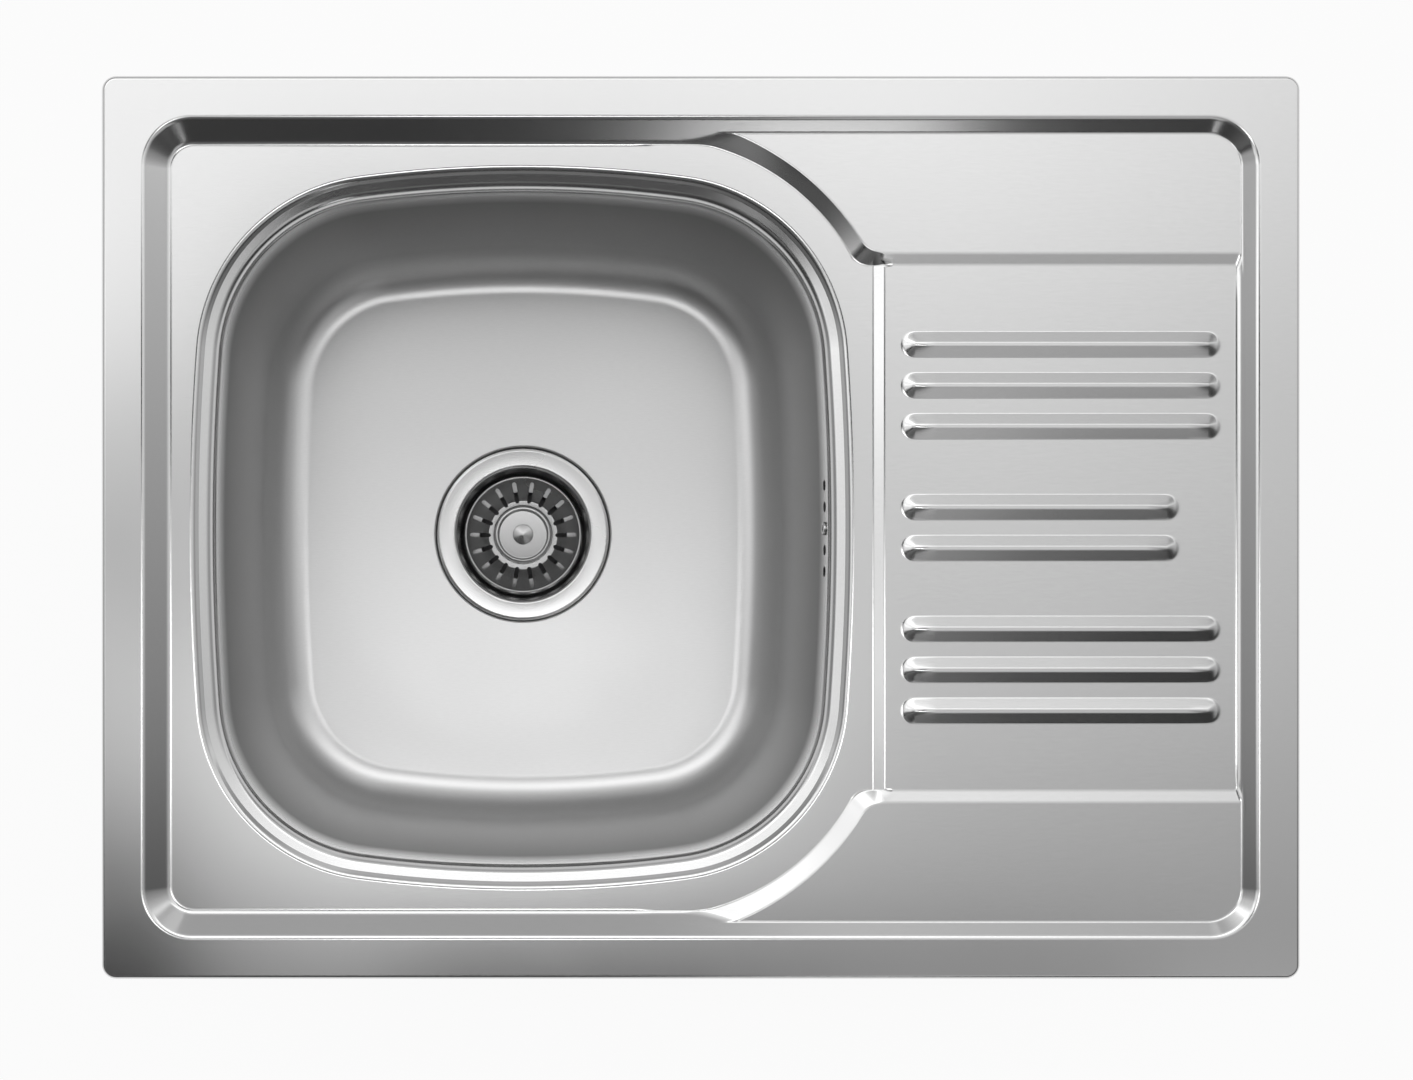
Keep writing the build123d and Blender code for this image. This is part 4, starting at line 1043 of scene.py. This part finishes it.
def inner_painted_shade(nodes, place, axis, tone):
    """Colour darkened by painted shade near an upright axis, inside the strainer cup."""
    away = nodes.vector("DISTANCE", nodes.vector("MULTIPLY", place, LEVEL), axis)
    return paint_shade(nodes, tone, nodes.ramp(away, *INNER_SPAN), INNER_PAINTED_SHADE)


def lay_skin(nodes, shader, tone, rough, marks, bump, depth):
    """Joins colour, roughness and fine relief to the shader."""
    relief = nodes.add("ShaderNodeBump", {"Height": marks, "Strength": bump, "Distance": depth})
    for key, socket in (("Base Color", tone), ("Roughness", rough), ("Normal", relief.outputs[0])):
        nodes.link(socket, shader.inputs[key])


def steel_material(
    name, tint, axis, scale, rough, bump, stretch=EVEN, turned=False, bowl_rough_and_shade=False, inner=False
):
    """Bare steel with a fine grain, or with turning marks round the axis of the drain, and painted shade on
    the bowl's walls or near that axis where asked.
    """
    patches, relief, tones = 7.0, 0.00002, (0.96, 1.04)
    material, nodes, shader, place = new_material(name)
    if turned:
        marks = nodes.group(turning_group(), {"Vector": place, "Axis": axis, "Scale": scale})
    else:
        marks = fine_grain(nodes, place, scale, stretch)
    tone = shade_between(nodes, marks, tint, *tones)
    handled = {"Vector": place, "Scale": patches, "Low": rough[0], "High": rough[1]}
    handled = nodes.group(handling_group(), handled)
    # Rougher bowl walls and floor, and painted shade that darkens the walls toward the top.
    if bowl_rough_and_shade:
        tone, handled = bowl_roughness_and_painted_shade(nodes, place, tone, handled)
    # Painted shade on the strainer near the drain's axis.
    if inner:
        tone = inner_painted_shade(nodes, place, axis, tone)
    lay_skin(nodes, shader, tone, handled, marks, bump, relief)
    shader.inputs["Metallic"].default_value = 1.0
    return material


def moulded_material(name, tint, scale, rough, bump, sheen=0.0):
    """Rubber, foam or plastic with a fine moulded skin."""
    patches, relief, tones, detail = 25.0, 0.0004, (0.8, 1.2), 4.0
    material, nodes, shader, place = new_material(name)
    marks = fine_grain(nodes, place, scale, detail=detail)
    tone = shade_between(nodes, marks, tint, *tones)
    handled = {"Vector": place, "Scale": patches, "Low": rough[0], "High": rough[1]}
    lay_skin(nodes, shader, tone, nodes.group(handling_group(), handled), marks, bump, relief)
    shader.inputs["Sheen Weight"].default_value = sheen
    return material


def finish(slot):
    """Material of one of the record's slots, made on first use."""
    name = slot + "_finish"
    found = bpy.data.materials.get(name)
    if found:
        return found
    part = settings(bpy.context)
    tint = tuple(getattr(part.colours, slot))
    if slot in STEELS:
        return steel_material(name, tint, (part.pressing.bowl_x, 0.0, 0.0), **STEELS[slot])
    return moulded_material(name, tint, **SKINS[slot])


def run_nodes(name, tree, values, mesh):
    """Evaluates a node tree on a mesh and returns the result as a plain piece."""
    piece = bpy.data.objects.new(name, mesh)
    bpy.context.scene.collection.objects.link(piece)
    modifier = piece.modifiers.new(tree.name, "NODES")
    modifier.node_group = tree
    for item in tree.interface.items_tree:
        if item.in_out == "INPUT" and item.name in values:
            modifier[item.identifier] = values[item.name]
    depsgraph = bpy.context.evaluated_depsgraph_get()
    result = bpy.data.meshes.new_from_object(piece.evaluated_get(depsgraph), depsgraph=depsgraph)
    piece.modifiers.remove(modifier)
    piece.data = result
    result.name = name
    if not len(result.polygons):
        raise RuntimeError(f"{name} has no faces")
    result.polygons.foreach_set("use_smooth", np.ones(len(result.polygons), bool))
    result.set_sharp_from_angle(angle=COPIED_SHARP)
    return piece


def moved(nodes, geometry, way):
    """Geometry shifted by a vector."""
    return nodes.add("GeometryNodeTransform", {"Geometry": geometry, "Translation": way}).outputs[0]


def upright(nodes, z):
    """Vector along Z."""
    return nodes.add("ShaderNodeCombineXYZ", {"Z": z}).outputs[0]


def put_out(nodes, given, result, geometry):
    """Gives the finished geometry its material and puts it out."""
    shaded = nodes.add("GeometryNodeSetMaterial", {"Geometry": geometry, "Material": given["Material"]})
    nodes.link(shaded.outputs[0], result["Geometry"])
    return nodes.tree


@kept_tree("Round array")
def round_array_tree(name):
    """Copies of a sector set round an upright axis and welded into one skin."""
    inputs = {"Geometry": "Geometry", "Count": "Int", "Axis": "Vector", "Material": "Material"}
    nodes, given, result = new_group(name, "Geometry", inputs, {"Geometry": "Geometry"})
    points = nodes.add("GeometryNodePoints", {"Count": given["Count"]})
    index = nodes.add("GeometryNodeInputIndex")
    step = nodes.math("DIVIDE", 2 * math.pi, given["Count"])
    turn = nodes.math("MULTIPLY", index.outputs[0], step)
    rotation = nodes.add("FunctionNodeEulerToRotation", {0: upright(nodes, turn)})
    copies = nodes.add(
        "GeometryNodeInstanceOnPoints",
        {"Points": points.outputs[0], "Instance": given["Geometry"], "Rotation": rotation.outputs[0]},
    )
    real = nodes.add("GeometryNodeRealizeInstances", {"Geometry": copies.outputs[0]})
    welded = nodes.add("GeometryNodeMergeByDistance", {"Geometry": real.outputs[0], "Distance": WELD})
    return put_out(nodes, given, result, moved(nodes, welded.outputs[0], given["Axis"]))


@kept_tree("Thread ridge")
def thread_group(name):
    """Helical ridge that runs up from the origin."""
    sides = 4
    inputs = dict.fromkeys(("Outside radius", "Ridge", "Pitch", "Length"), "Float") | {"Steps": "Int"}
    nodes, given, result = new_group(name, "Geometry", inputs, {"Geometry": "Geometry"})
    middle = nodes.math("SUBTRACT", given["Outside radius"], given["Ridge"])
    turns = nodes.math("DIVIDE", given["Length"], given["Pitch"])
    spiral = {"Resolution": given["Steps"], "Rotations": turns, "Height": given["Length"]}
    spiral |= {"Start Radius": middle, "End Radius": middle}
    helix = nodes.add("GeometryNodeCurveSpiral", spiral)
    profile = nodes.add("GeometryNodeCurvePrimitiveCircle", {"Resolution": sides, "Radius": given["Ridge"]})
    ridge = nodes.add(
        "GeometryNodeCurveToMesh",
        {"Curve": helix.outputs[0], "Profile Curve": profile.outputs[0], "Fill Caps": True},
    )
    nodes.link(ridge.outputs[0], result["Geometry"])
    return nodes.tree


@kept_tree("Outlet thread")
def outlet_tree(name):
    """Adds a thread below a turned funnel."""
    steps = 64
    ridge = dict.fromkeys(("Outside radius", "Pitch", "Length"), "Float")
    inputs = {"Geometry": "Geometry"} | ridge | {"Start": "Vector", "Material": "Material"}
    nodes, given, result = new_group(name, "Geometry", inputs, {"Geometry": "Geometry"})
    ridge = {key: given[key] for key in ridge} | {"Steps": steps}
    ridge["Ridge"] = nodes.math("MULTIPLY", given["Pitch"], OUTLET_RIDGE)
    wound = nodes.add("GeometryNodeGroup", ridge, node_tree=thread_group())
    joined = nodes.add("GeometryNodeJoinGeometry", {"Geometry": given["Geometry"]})
    nodes.link(moved(nodes, wound.outputs[0], given["Start"]), joined.inputs[0])
    real = nodes.add("GeometryNodeRealizeInstances", {"Geometry": joined.outputs[0]})
    return put_out(nodes, given, result, real.outputs[0])


@kept_tree("Clip bolts")
def bolts_tree(name):
    """A threaded hexagon bolt hung from every point of the geometry."""
    sides, steps, plain_turns = 20, 16, 2.0
    sizes = ("Bolt radius", "Bolt length", "Pitch", "Head radius", "Head height")
    inputs = {"Geometry": "Geometry"} | dict.fromkeys(sizes, "Float") | {"Material": "Material"}
    nodes, given, result = new_group(name, "Geometry", inputs, {"Geometry": "Geometry"})
    size, pitch = given["Bolt length"], given["Pitch"]
    ridge = nodes.math("MULTIPLY", pitch, BOLT_RIDGE)
    core_radius = nodes.math("SUBTRACT", given["Bolt radius"], ridge)
    core = nodes.add("GeometryNodeMeshCylinder", {"Vertices": sides, "Radius": core_radius, "Depth": size})
    hung = moved(nodes, core.outputs[0], upright(nodes, nodes.math("MULTIPLY", size, -0.5)))
    thread = {
        "Outside radius": given["Bolt radius"],
        "Ridge": ridge,
        "Pitch": pitch,
        "Length": nodes.math("SUBTRACT", size, nodes.math("MULTIPLY", pitch, plain_turns)),
        "Steps": steps,
    }
    thread = nodes.add("GeometryNodeGroup", thread, node_tree=thread_group())
    wound = moved(nodes, thread.outputs[0], upright(nodes, nodes.math("SUBTRACT", pitch, size)))
    hexagon = {"Vertices": 6, "Radius": given["Head radius"], "Depth": given["Head height"]}
    head = nodes.add("GeometryNodeMeshCylinder", hexagon)
    rise = nodes.math("MULTIPLY", given["Head height"], 0.5)
    capped = moved(nodes, head.outputs[0], upright(nodes, rise))
    joined = nodes.add("GeometryNodeJoinGeometry")
    for piece in (hung, wound, capped):
        nodes.link(piece, joined.inputs[0])
    copies = nodes.add(
        "GeometryNodeInstanceOnPoints", {"Points": given["Geometry"], "Instance": joined.outputs[0]}
    )
    real = nodes.add("GeometryNodeRealizeInstances", {"Geometry": copies.outputs[0]})
    return put_out(nodes, given, result, real.outputs[0])


def sector_cut(half_angle):
    """Test for edges that lie on a sector's two sides, where the next sector joins."""

    def on_side(a, b):
        return all(abs(abs(math.atan2(p[1], p[0])) - half_angle) < ON_LINE for p in (a, b))

    return on_side


def cup_sector(t):
    """One sector of the strainer cup, with its drain port, round the Z axis."""
    web_steps, port_steps = 3, 12
    half = math.pi / t.ports
    port = t.port_angle / 2
    turns = np.concatenate(
        (
            np.linspace(-half, -port, web_steps + 1)[:-1],
            np.linspace(-port, port, port_steps + 1),
            np.linspace(port, half, web_steps + 1)[1:],
        )
    )
    floor_z = t.flange_z - t.cup_depth
    path = [
        (t.flange_radius, t.flange_z - t.flange_drop),
        (t.flange_radius - t.flange_bevel, t.flange_z),
        (t.cup_radius, t.flange_z),
        (t.cup_radius - t.cup_taper, floor_z),
        (t.port_outer, floor_z),
        (t.port_inner, floor_z),
        (t.screw_hole, floor_z),
    ]
    radii = {1: t.flange_bend, 2: t.cup_roll, 3: t.cup_floor_roll}
    steps = {1: 4, 2: 10, 3: 8}
    ways = np.column_stack((np.cos(turns), np.sin(turns)))
    surface = Surface(np.zeros((0, 3)), np.zeros((0, 3)), [])
    last = None
    for radius, z, side, up in rounded_path(path, radii, steps):
        here = surface.ring(ways * radius, z, ways, side, up)
        if last is not None:
            skip = {len(ways) - 1}
            if abs(radius - t.port_inner) < ON_LINE:
                skip |= set(range(web_steps, web_steps + port_steps))
            surface.stitch(last, here, skip)
        last = here
    return surface.solid(t.cup_sheet, sector_cut(half))[:2]


def basket_sector(t):
    """One sector of the slotted basket with its rim bead, round the Z axis."""
    columns, bend_rings, slot_turn, bead_points, bead_rows = 9, 7, 5, 14, 5
    half = math.pi / t.slots
    run = t.basket_rim - t.basket_floor
    slant = math.hypot(run, t.basket_height)
    wall = t.basket_sheet * slant / t.basket_height
    inner_floor = t.basket_floor - t.basket_sheet * (slant - run) / t.basket_height
    top = t.basket_z + t.basket_height
    inside_z = t.basket_z + t.basket_sheet
    rim = t.basket_rim - wall
    slope = (top - inside_z) / (rim - inner_floor)

    def height(points):
        away = np.hypot(points[:, 0], points[:, 1])
        rise = inside_z + (away - inner_floor) * slope
        return smooth_max(inside_z, rise, blend_depth(t.basket_bend, slope))

    plan = Plan()
    turns = np.linspace(-half, half, columns)
    ways = np.column_stack((np.cos(turns), np.sin(turns)))
    bend = np.linspace(inner_floor - BASKET_BEND, inner_floor + BASKET_BEND, bend_rings)
    for radius in (t.basket_hole, *BASKET_FLOOR_RINGS, *bend, *BASKET_WALL_RINGS, rim):
        plan.add(ways * radius, False)
    slot_half = (t.slot_outer - t.slot_inner - t.slot_width) / 2
    slot_middle = (t.slot_outer + t.slot_inner) / 2
    centres, slot_ways = box_columns(slot_half, 0, slot_turn, SLOT_STEP)
    plan.add(centres + slot_ways * t.slot_width / 2 + (slot_middle, 0), True)
    flat, triangles, _ = plan.triangles()
    middles = flat[triangles].mean(axis=1)
    along = np.maximum(np.abs(middles[:, 0] - slot_middle) - slot_half, 0)
    keep = np.hypot(along, middles[:, 1]) > t.slot_width / 2 * HOLE_SHARE
    away = np.hypot(middles[:, 0], middles[:, 1])
    keep &= (away > t.basket_hole) & (np.abs(np.arctan2(middles[:, 1], middles[:, 0])) < half)
    surface = Surface(np.column_stack((flat, height(flat))), height_normals(flat, height), triangles[keep])
    points, faces, _ = surface.solid(t.basket_sheet, sector_cut(half))
    points = list(points)
    rolls = np.linspace(0, 2 * math.pi, bead_points + 1)[:-1]
    bead_radius = t.basket_rim - wall / 2
    loops = []
    for turn in np.linspace(-half, half, bead_rows):
        loops.append(list(range(len(points), len(points) + bead_points)))
        for roll in rolls:
            away = bead_radius + t.basket_bead * math.cos(roll)
            z = top + t.basket_bead * math.sin(roll)
            points.append((away * math.cos(turn), away * math.sin(turn), z))
    for a, b in zip(loops, loops[1:]):
        for k in range(bead_points):
            n = (k + 1) % bead_points
            faces.append((a[k], b[k], b[n], a[n]))
    return points, faces


def sector_piece(part, name, sector, count, body, node):
    """Piece of the strainer made of copies of a sector, given as points and faces, round the drain."""
    points, faces = sector
    mesh = bpy.data.meshes.new(name + "_sector")
    mesh.from_pydata([tuple(p) for p in points], [], faces)
    values = {
        "Count": count,
        "Axis": (part.pressing.bowl_x, 0.0, 0.0),
        "Material": finish("strainer_steel"),
    }
    piece = run_nodes(name, round_array_tree(), values, mesh)
    place_piece(piece, body, "strainer_steel", node)


class SINK_OT_pressing(Operator):
    """Makes the pressed steel sink"""

    bl_idname = "sink.pressing"
    bl_label = "Pressed sink"

    def execute(self, context):
        s = settings(context).pressing
        points, faces, corners = pressing_surface(s).solid(s.sheet)
        piece = make_piece("pressed_sink", points, faces, finish("satin_steel"), corners)
        place_piece(piece, "sink", "satin_steel", "sink_pressing")
        return {"FINISHED"}


class SINK_OT_cup(Operator):
    """Makes the strainer cup from sectors with one port each"""

    bl_idname = "sink.cup"
    bl_label = "Strainer cup"

    def execute(self, context):
        part = settings(context)
        t = part.strainer
        sector_piece(part, "turned_cup", cup_sector(t), t.ports, "sink", "strainer_cup")
        return {"FINISHED"}


class SINK_OT_basket(Operator):
    """Makes the slotted basket from sectors with one slot each"""

    bl_idname = "sink.basket"
    bl_label = "Strainer basket"

    def execute(self, context):
        part = settings(context)
        t = part.strainer
        sector_piece(part, "slotted_basket", basket_sector(t), t.slots, "basket", "strainer_basket")
        return {"FINISHED"}


class SINK_OT_plug(Operator):
    """Makes the plug's knob and its spindle with the button"""

    bl_idname = "sink.plug"
    bl_label = "Plug knob and spindle"

    def execute(self, context):
        part = settings(context)
        t = part.strainer
        steel = finish("strainer_steel")
        centre = (part.pressing.bowl_x, 0.0)
        dish_z = t.knob_top - t.knob_dish
        knob_low = t.knob_top - t.knob_thick
        path = [
            (t.knob_radius, t.knob_top),
            (t.knob_dish_radius, t.knob_top),
            (t.knob_dish_radius - t.knob_dish, dish_z),
            (t.spindle_radius, dish_z),
            (t.spindle_radius, t.knob_low),
            (t.knob_hub, t.knob_low),
            (t.knob_hub, knob_low),
            (t.knob_radius, knob_low),
        ]
        radii = {0: t.knob_edge, 1: t.knob_bend, 2: t.knob_dish_bend, 7: t.knob_edge}
        knob = turned_piece("turned_knob", path, radii, {0: 12, 7: 10}, KNOB_SIDES, steel, centre)
        place_piece(knob, "plug", "strainer_steel", "plug_knob")
        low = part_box("spindle")[0].z
        collar_z = t.flange_z - t.cup_depth + t.collar_rise
        top = dish_z + t.button_height
        path = [
            (t.button_tip, top),
            (0, top),
            (0, low),
            (t.spindle_radius - t.spindle_bevel, low),
            (t.spindle_radius, low + t.spindle_bevel),
            (t.spindle_radius, collar_z - t.collar_thick),
            (t.collar_radius, collar_z - t.collar_thick),
            (t.collar_radius, collar_z),
            (t.spindle_radius, collar_z),
            (t.spindle_radius, dish_z),
            (t.button_radius, dish_z),
            (t.button_radius, top - t.button_cone),
        ]
        radii = {0: t.button_bend, 11: t.button_bend}
        spindle = turned_piece("button_spindle", path, radii, {0: 5, 11: 4}, SPINDLE_SIDES, steel, centre)
        place_piece(spindle, "plug", "strainer_steel", "spindle")
        return {"FINISHED"}


class SINK_OT_waste(Operator):
    """Makes the waste funnel with its threaded outlet"""

    bl_idname = "sink.waste"
    bl_label = "Threaded outlet"

    def execute(self, context):
        part = settings(context)
        f = part.fixings
        plastic = finish("grey_plastic")
        low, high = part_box("waste_funnel")
        body = (high.x - low.x) / 2
        funnel_low = low.z + f.outlet_length
        shoulder = funnel_low - f.outlet_shoulder
        core = f.outlet_radius - OUTLET_RIDGE * f.outlet_pitch
        path = [
            (body, high.z),
            (body - f.outlet_wall, high.z),
            (f.outlet_bore, funnel_low + f.outlet_wall / 2),
            (f.outlet_bore, low.z),
            (core, low.z),
            (core, shoulder - f.outlet_bevel),
            (f.outlet_radius, shoulder),
            (f.outlet_radius, funnel_low),
            (body, high.z - f.outlet_wall / 2),
        ]
        centre = (part.pressing.bowl_x, 0.0)
        radii = {8: f.funnel_edge, 7: f.funnel_bend}
        core_piece = turned_piece("funnel_core", path, radii, {}, FUNNEL_SIDES, plastic, centre)
        values = {
            "Outside radius": f.outlet_radius,
            "Pitch": f.outlet_pitch,
            "Length": f.outlet_thread,
            "Start": (centre[0], 0.0, low.z + f.outlet_start),
            "Material": plastic,
        }
        mesh = core_piece.data
        bpy.data.objects.remove(core_piece)
        piece = run_nodes("threaded_outlet", outlet_tree(), values, mesh)
        place_piece(piece, "sink", "grey_plastic", "waste_funnel")
        return {"FINISHED"}


class SINK_OT_bolts(Operator):
    """Makes the clips' threaded bolts"""

    bl_idname = "sink.bolts"
    bl_label = "Clip bolts"

    def execute(self, context):
        f = settings(context).fixings
        seats = []
        for name in sorted(n for n in frame["nodes"] if n.startswith("clip_nut_")):
            low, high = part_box(name)
            seats.append(((low.x + high.x) / 2, (low.y + high.y) / 2, high.z + f.nut_to_seat))
        values = {
            "Bolt radius": f.bolt_radius,
            "Bolt length": f.bolt_length,
            "Pitch": f.bolt_pitch,
            "Head radius": f.bolt_flats / math.sqrt(3),
            "Head height": f.bolt_head,
            "Material": finish("plated_steel"),
        }
        mesh = bpy.data.meshes.new("bolt_seats")
        mesh.from_pydata(seats, [], [])
        piece = run_nodes("threaded_bolts", bolts_tree(), values, mesh)
        place_piece(piece, "sink", "plated_steel", "clip_bolts")
        return {"FINISHED"}


class SINK_OT_dress(Operator):
    """Gives the carried-over solids their finishes"""

    bl_idname = "sink.dress"
    bl_label = "Finishes of the other parts"

    def execute(self, context):
        for row in frame["record"]["subparts"]:
            node = frame["nodes"][row["node"]]
            node.data.materials.clear()
            node.data.materials.append(finish(row["material_slot"]))
        return {"FINISHED"}


# Surrounding light by its tilt from straight up, in degrees: toward the back (Y) and the drainer (X).
BACK_LIGHT = (
    (-90, 0.03), (-51, 0.035), (-39, 0.06), (-27, 0.14), (-17, 0.22), (-14, 0.33), (-11, 0.53), (-6, 0.63),
    (1, 0.74), (9, 0.92), (16, 1.13), (21, 1.2), (25, 1.6), (29, 2.1), (32, 2.0), (35.5, 0.9), (41, 0.8),
    (47, 0.5), (57, 0.4), (90, 0.38),
)
SIDE_LIGHT = (
    (-90, 0.36), (-49, 0.36), (-41, 0.42), (-35, 0.8), (-29, 0.97), (-15, 1.03), (5, 1.0), (15, 0.98),
    (25, 0.83), (35, 0.7), (46, 0.48), (90, 0.45),
)
# Panels that add to it, or dim it: X span, Y span, softness of the edges, strength.
PANELS = (
    ((-39, -19), (-11, 13), 5, 0.5),
    ((-39, -15.5), (-19, -6), 3, -0.24),
    ((-16, -12.5), (-19, -8.5), 2, -0.5),
    ((-39, -12), (-1.5, 5.5), 3, -0.32),
    ((-13, -5), (-11.5, -4), 3, 0.27),
    ((-39, -10), (8, 14), 3, 0.12),
    ((-6.5, 6.5), (-8.5, -1), 2, 2.5),
    ((-9, 7), (3, 11.5), 3, -1.0),
    ((-5, 22), (-21, -13), 2, -0.22),
    ((15, 41), (-6, 5), 5, 0.05),
    ((10, 33), (-37, -15), 4, 0.4),
    ((10, 21.5), (-44, -35), 4, 0.3),
    ((9.4, 23), (-57, -50.5), 2, 1.5),
    ((13, 46), (43, 76), 6, 0.25),
)
# Even light toward the horizon, mixed in between these heights of a direction.
HORIZON_LIGHT = 0.7
HORIZON_SPAN = (0.5, 0.3)
FLOOR_GAP = 0.0005
SENSOR_WIDTH = 36.0
CLIP_START = 0.01


def curve_value(nodes, value, points):
    """Value read from a line through (degrees, height) points."""
    low, high = math.radians(points[0][0]), math.radians(points[-1][0])
    ramp = nodes.add("ShaderNodeValToRGB", {"Fac": nodes.ramp(value, low, high)})
    ramp.color_ramp.interpolation = "CARDINAL"
    peak = max(height for _, height in points)
    elements = ramp.color_ramp.elements
    while len(elements) < len(points):
        elements.new(0.5)
    for element, (degrees, height) in zip(elements, points):
        element.position = (math.radians(degrees) - low) / (high - low)
        element.color = (*[height / peak] * 3, 1)
    return nodes.math("MULTIPLY", ramp.outputs[0], peak)


def soft_span(nodes, value, span, soft):
    """1 inside a span of degrees, falling to 0 over its soft edges."""
    edges = []
    for edge, way in ((span[0], 1), (span[1], -1)):
        start, end = (math.radians(edge + way * sign * soft / 2) for sign in (-1, 1))
        edges.append(nodes.ramp(value, start, end, interpolation_type="SMOOTHSTEP"))
    return nodes.math("MULTIPLY", *edges)


def studio_world(strength):
    """Soft studio surroundings: bright above and behind, dim at the sides, dark in front."""
    world = bpy.data.worlds.new("studio")
    world.use_nodes = True
    world.node_tree.nodes.clear()
    nodes = Nodes(world.node_tree)
    way = nodes.add("ShaderNodeTexCoord").outputs["Generated"]
    parts = nodes.add("ShaderNodeSeparateXYZ", {0: way})
    tilt_x = nodes.math("ARCTAN2", parts.outputs["X"], parts.outputs["Z"])
    tilt_y = nodes.math("ARCTAN2", parts.outputs["Y"], parts.outputs["Z"])
    back = curve_value(nodes, tilt_y, BACK_LIGHT)
    light = nodes.math("MULTIPLY", back, curve_value(nodes, tilt_x, SIDE_LIGHT))
    for span_x, span_y, soft, height in PANELS:
        across = soft_span(nodes, tilt_x, span_x, soft)
        inside = nodes.math("MULTIPLY", across, soft_span(nodes, tilt_y, span_y, soft))
        light = nodes.math("ADD", light, nodes.math("MULTIPLY", inside, height))
    low = nodes.ramp(parts.outputs["Z"], *HORIZON_SPAN)
    mix = nodes.add("ShaderNodeMix", {"Factor": low, "A": light, "B": HORIZON_LIGHT})
    seen = nodes.add("ShaderNodeLightPath").outputs["Is Camera Ray"]
    backdrop = nodes.add("ShaderNodeMix", {"Factor": seen, "A": mix.outputs[0], "B": 1.0})
    shade = nodes.add("ShaderNodeBackground", {"Color": backdrop.outputs[0], "Strength": strength})
    nodes.add("ShaderNodeOutputWorld", {"Surface": shade.outputs[0]})
    return world


class SINK_OT_stage(Operator):
    """Sets the floor, the light and the camera"""

    bl_idname = "sink.stage"
    bl_label = "Floor, light and camera"

    def execute(self, context):
        part = settings(context)
        stage = part.stage
        scene = context.scene
        scene.view_settings.view_transform = "Standard"
        scene.world = studio_world(stage.light)
        half = stage.floor_size / 2
        z = CAD_BOX[0][2] - FLOOR_GAP
        corners = [(-half, -half, z), (half, -half, z), (half, half, z), (-half, half, z)]
        floor = make_piece("floor", corners, [(0, 1, 2, 3)], floor_material(part.colours.floor))
        camera = bpy.data.cameras.new("camera")
        camera.lens = stage.lens
        camera.sensor_width = SENSOR_WIDTH
        camera.shift_x = stage.shift_x
        camera.shift_y = stage.shift_y
        camera.clip_start = CLIP_START
        view = bpy.data.objects.new("camera", camera)
        view.location = (stage.camera_x, stage.camera_y, stage.camera_z)
        scene.collection.objects.link(view)
        scene.camera = view
        return {"FINISHED"}


def floor_material(tint):
    """Pale floor that looks white, takes the sink's shadow and can be looked through from below."""
    scale, tones, rough, glow_share = 60.0, (0.99, 1.01), 0.9, 0.93
    material, nodes, shader, place = new_material("pale_floor")
    marks = fine_grain(nodes, place, scale)
    nodes.link(shade_between(nodes, marks, tint, *tones), shader.inputs["Base Color"])
    shader.inputs["Roughness"].default_value = rough
    glow = nodes.add("ShaderNodeEmission", {"Color": (1, 1, 1, 1), "Strength": 1.0})
    path = nodes.add("ShaderNodeLightPath")
    seen = nodes.math("MAXIMUM", path.outputs["Is Camera Ray"], path.outputs["Is Glossy Ray"])
    seen = nodes.math("MAXIMUM", seen, path.outputs["Is Transmission Ray"])
    share = nodes.math("MULTIPLY", seen, glow_share)
    mix = nodes.add("ShaderNodeMixShader", {0: share, 1: shader.outputs[0], 2: glow.outputs[0]})
    output = next(n for n in nodes.tree.nodes if n.bl_idname == "ShaderNodeOutputMaterial")
    below = nodes.add("ShaderNodeNewGeometry").outputs["Backfacing"]
    clear = nodes.add("ShaderNodeBsdfTransparent")
    both = nodes.add("ShaderNodeMixShader", {0: below, 1: mix.outputs[0], 2: clear.outputs[0]})
    nodes.link(both.outputs[0], output.inputs["Surface"])
    return material


class SinkPart(PropertyGroup):
    """All values of the sink."""

    pressing: PointerProperty(type=PressingSizes, name="Pressing", description="Pressed sheet")
    strainer: PointerProperty(type=StrainerSizes, name="Strainer", description="Strainer and plug")
    fixings: PointerProperty(type=FixingSizes, name="Fixings", description="Threads")
    colours: PointerProperty(type=FinishColours, name="Colours", description="Finishes")
    stage: PointerProperty(type=StageSizes, name="Stage", description="Camera and light")


class SINK_PT_panel(Panel):
    """Lists the sink's pieces and sizes"""

    bl_idname = "SINK_PT_panel"
    bl_label = "Inset steel sink"
    bl_space_type = "VIEW_3D"
    bl_region_type = "UI"
    bl_category = "Sink"

    def draw(self, context):
        part = settings(context)
        for operator in OPERATORS:
            self.layout.operator(operator.bl_idname)
        for group in (part.pressing, part.strainer, part.fixings, part.colours, part.stage):
            box = self.layout.box()
            for key in group.__annotations__:
                box.prop(group, key)


OPERATORS = (
    SINK_OT_dress,
    SINK_OT_pressing,
    SINK_OT_cup,
    SINK_OT_basket,
    SINK_OT_plug,
    SINK_OT_waste,
    SINK_OT_bolts,
    SINK_OT_stage,
)
GROUPS = (PressingSizes, StrainerSizes, FixingSizes, FinishColours, StageSizes, SinkPart)
CLASSES = (*GROUPS, *OPERATORS, SINK_PT_panel)


def register():
    for kind in CLASSES:
        bpy.utils.register_class(kind)
    bpy.types.Scene.sink_part = PointerProperty(type=SinkPart)


def unregister():
    del bpy.types.Scene.sink_part
    for kind in reversed(CLASSES):
        bpy.utils.unregister_class(kind)


def main():
    register()
    for operator in OPERATORS:
        group, name = operator.bl_idname.split(".")
        getattr(getattr(bpy.ops, group), name)()


if __name__ == "__main__":
    main()
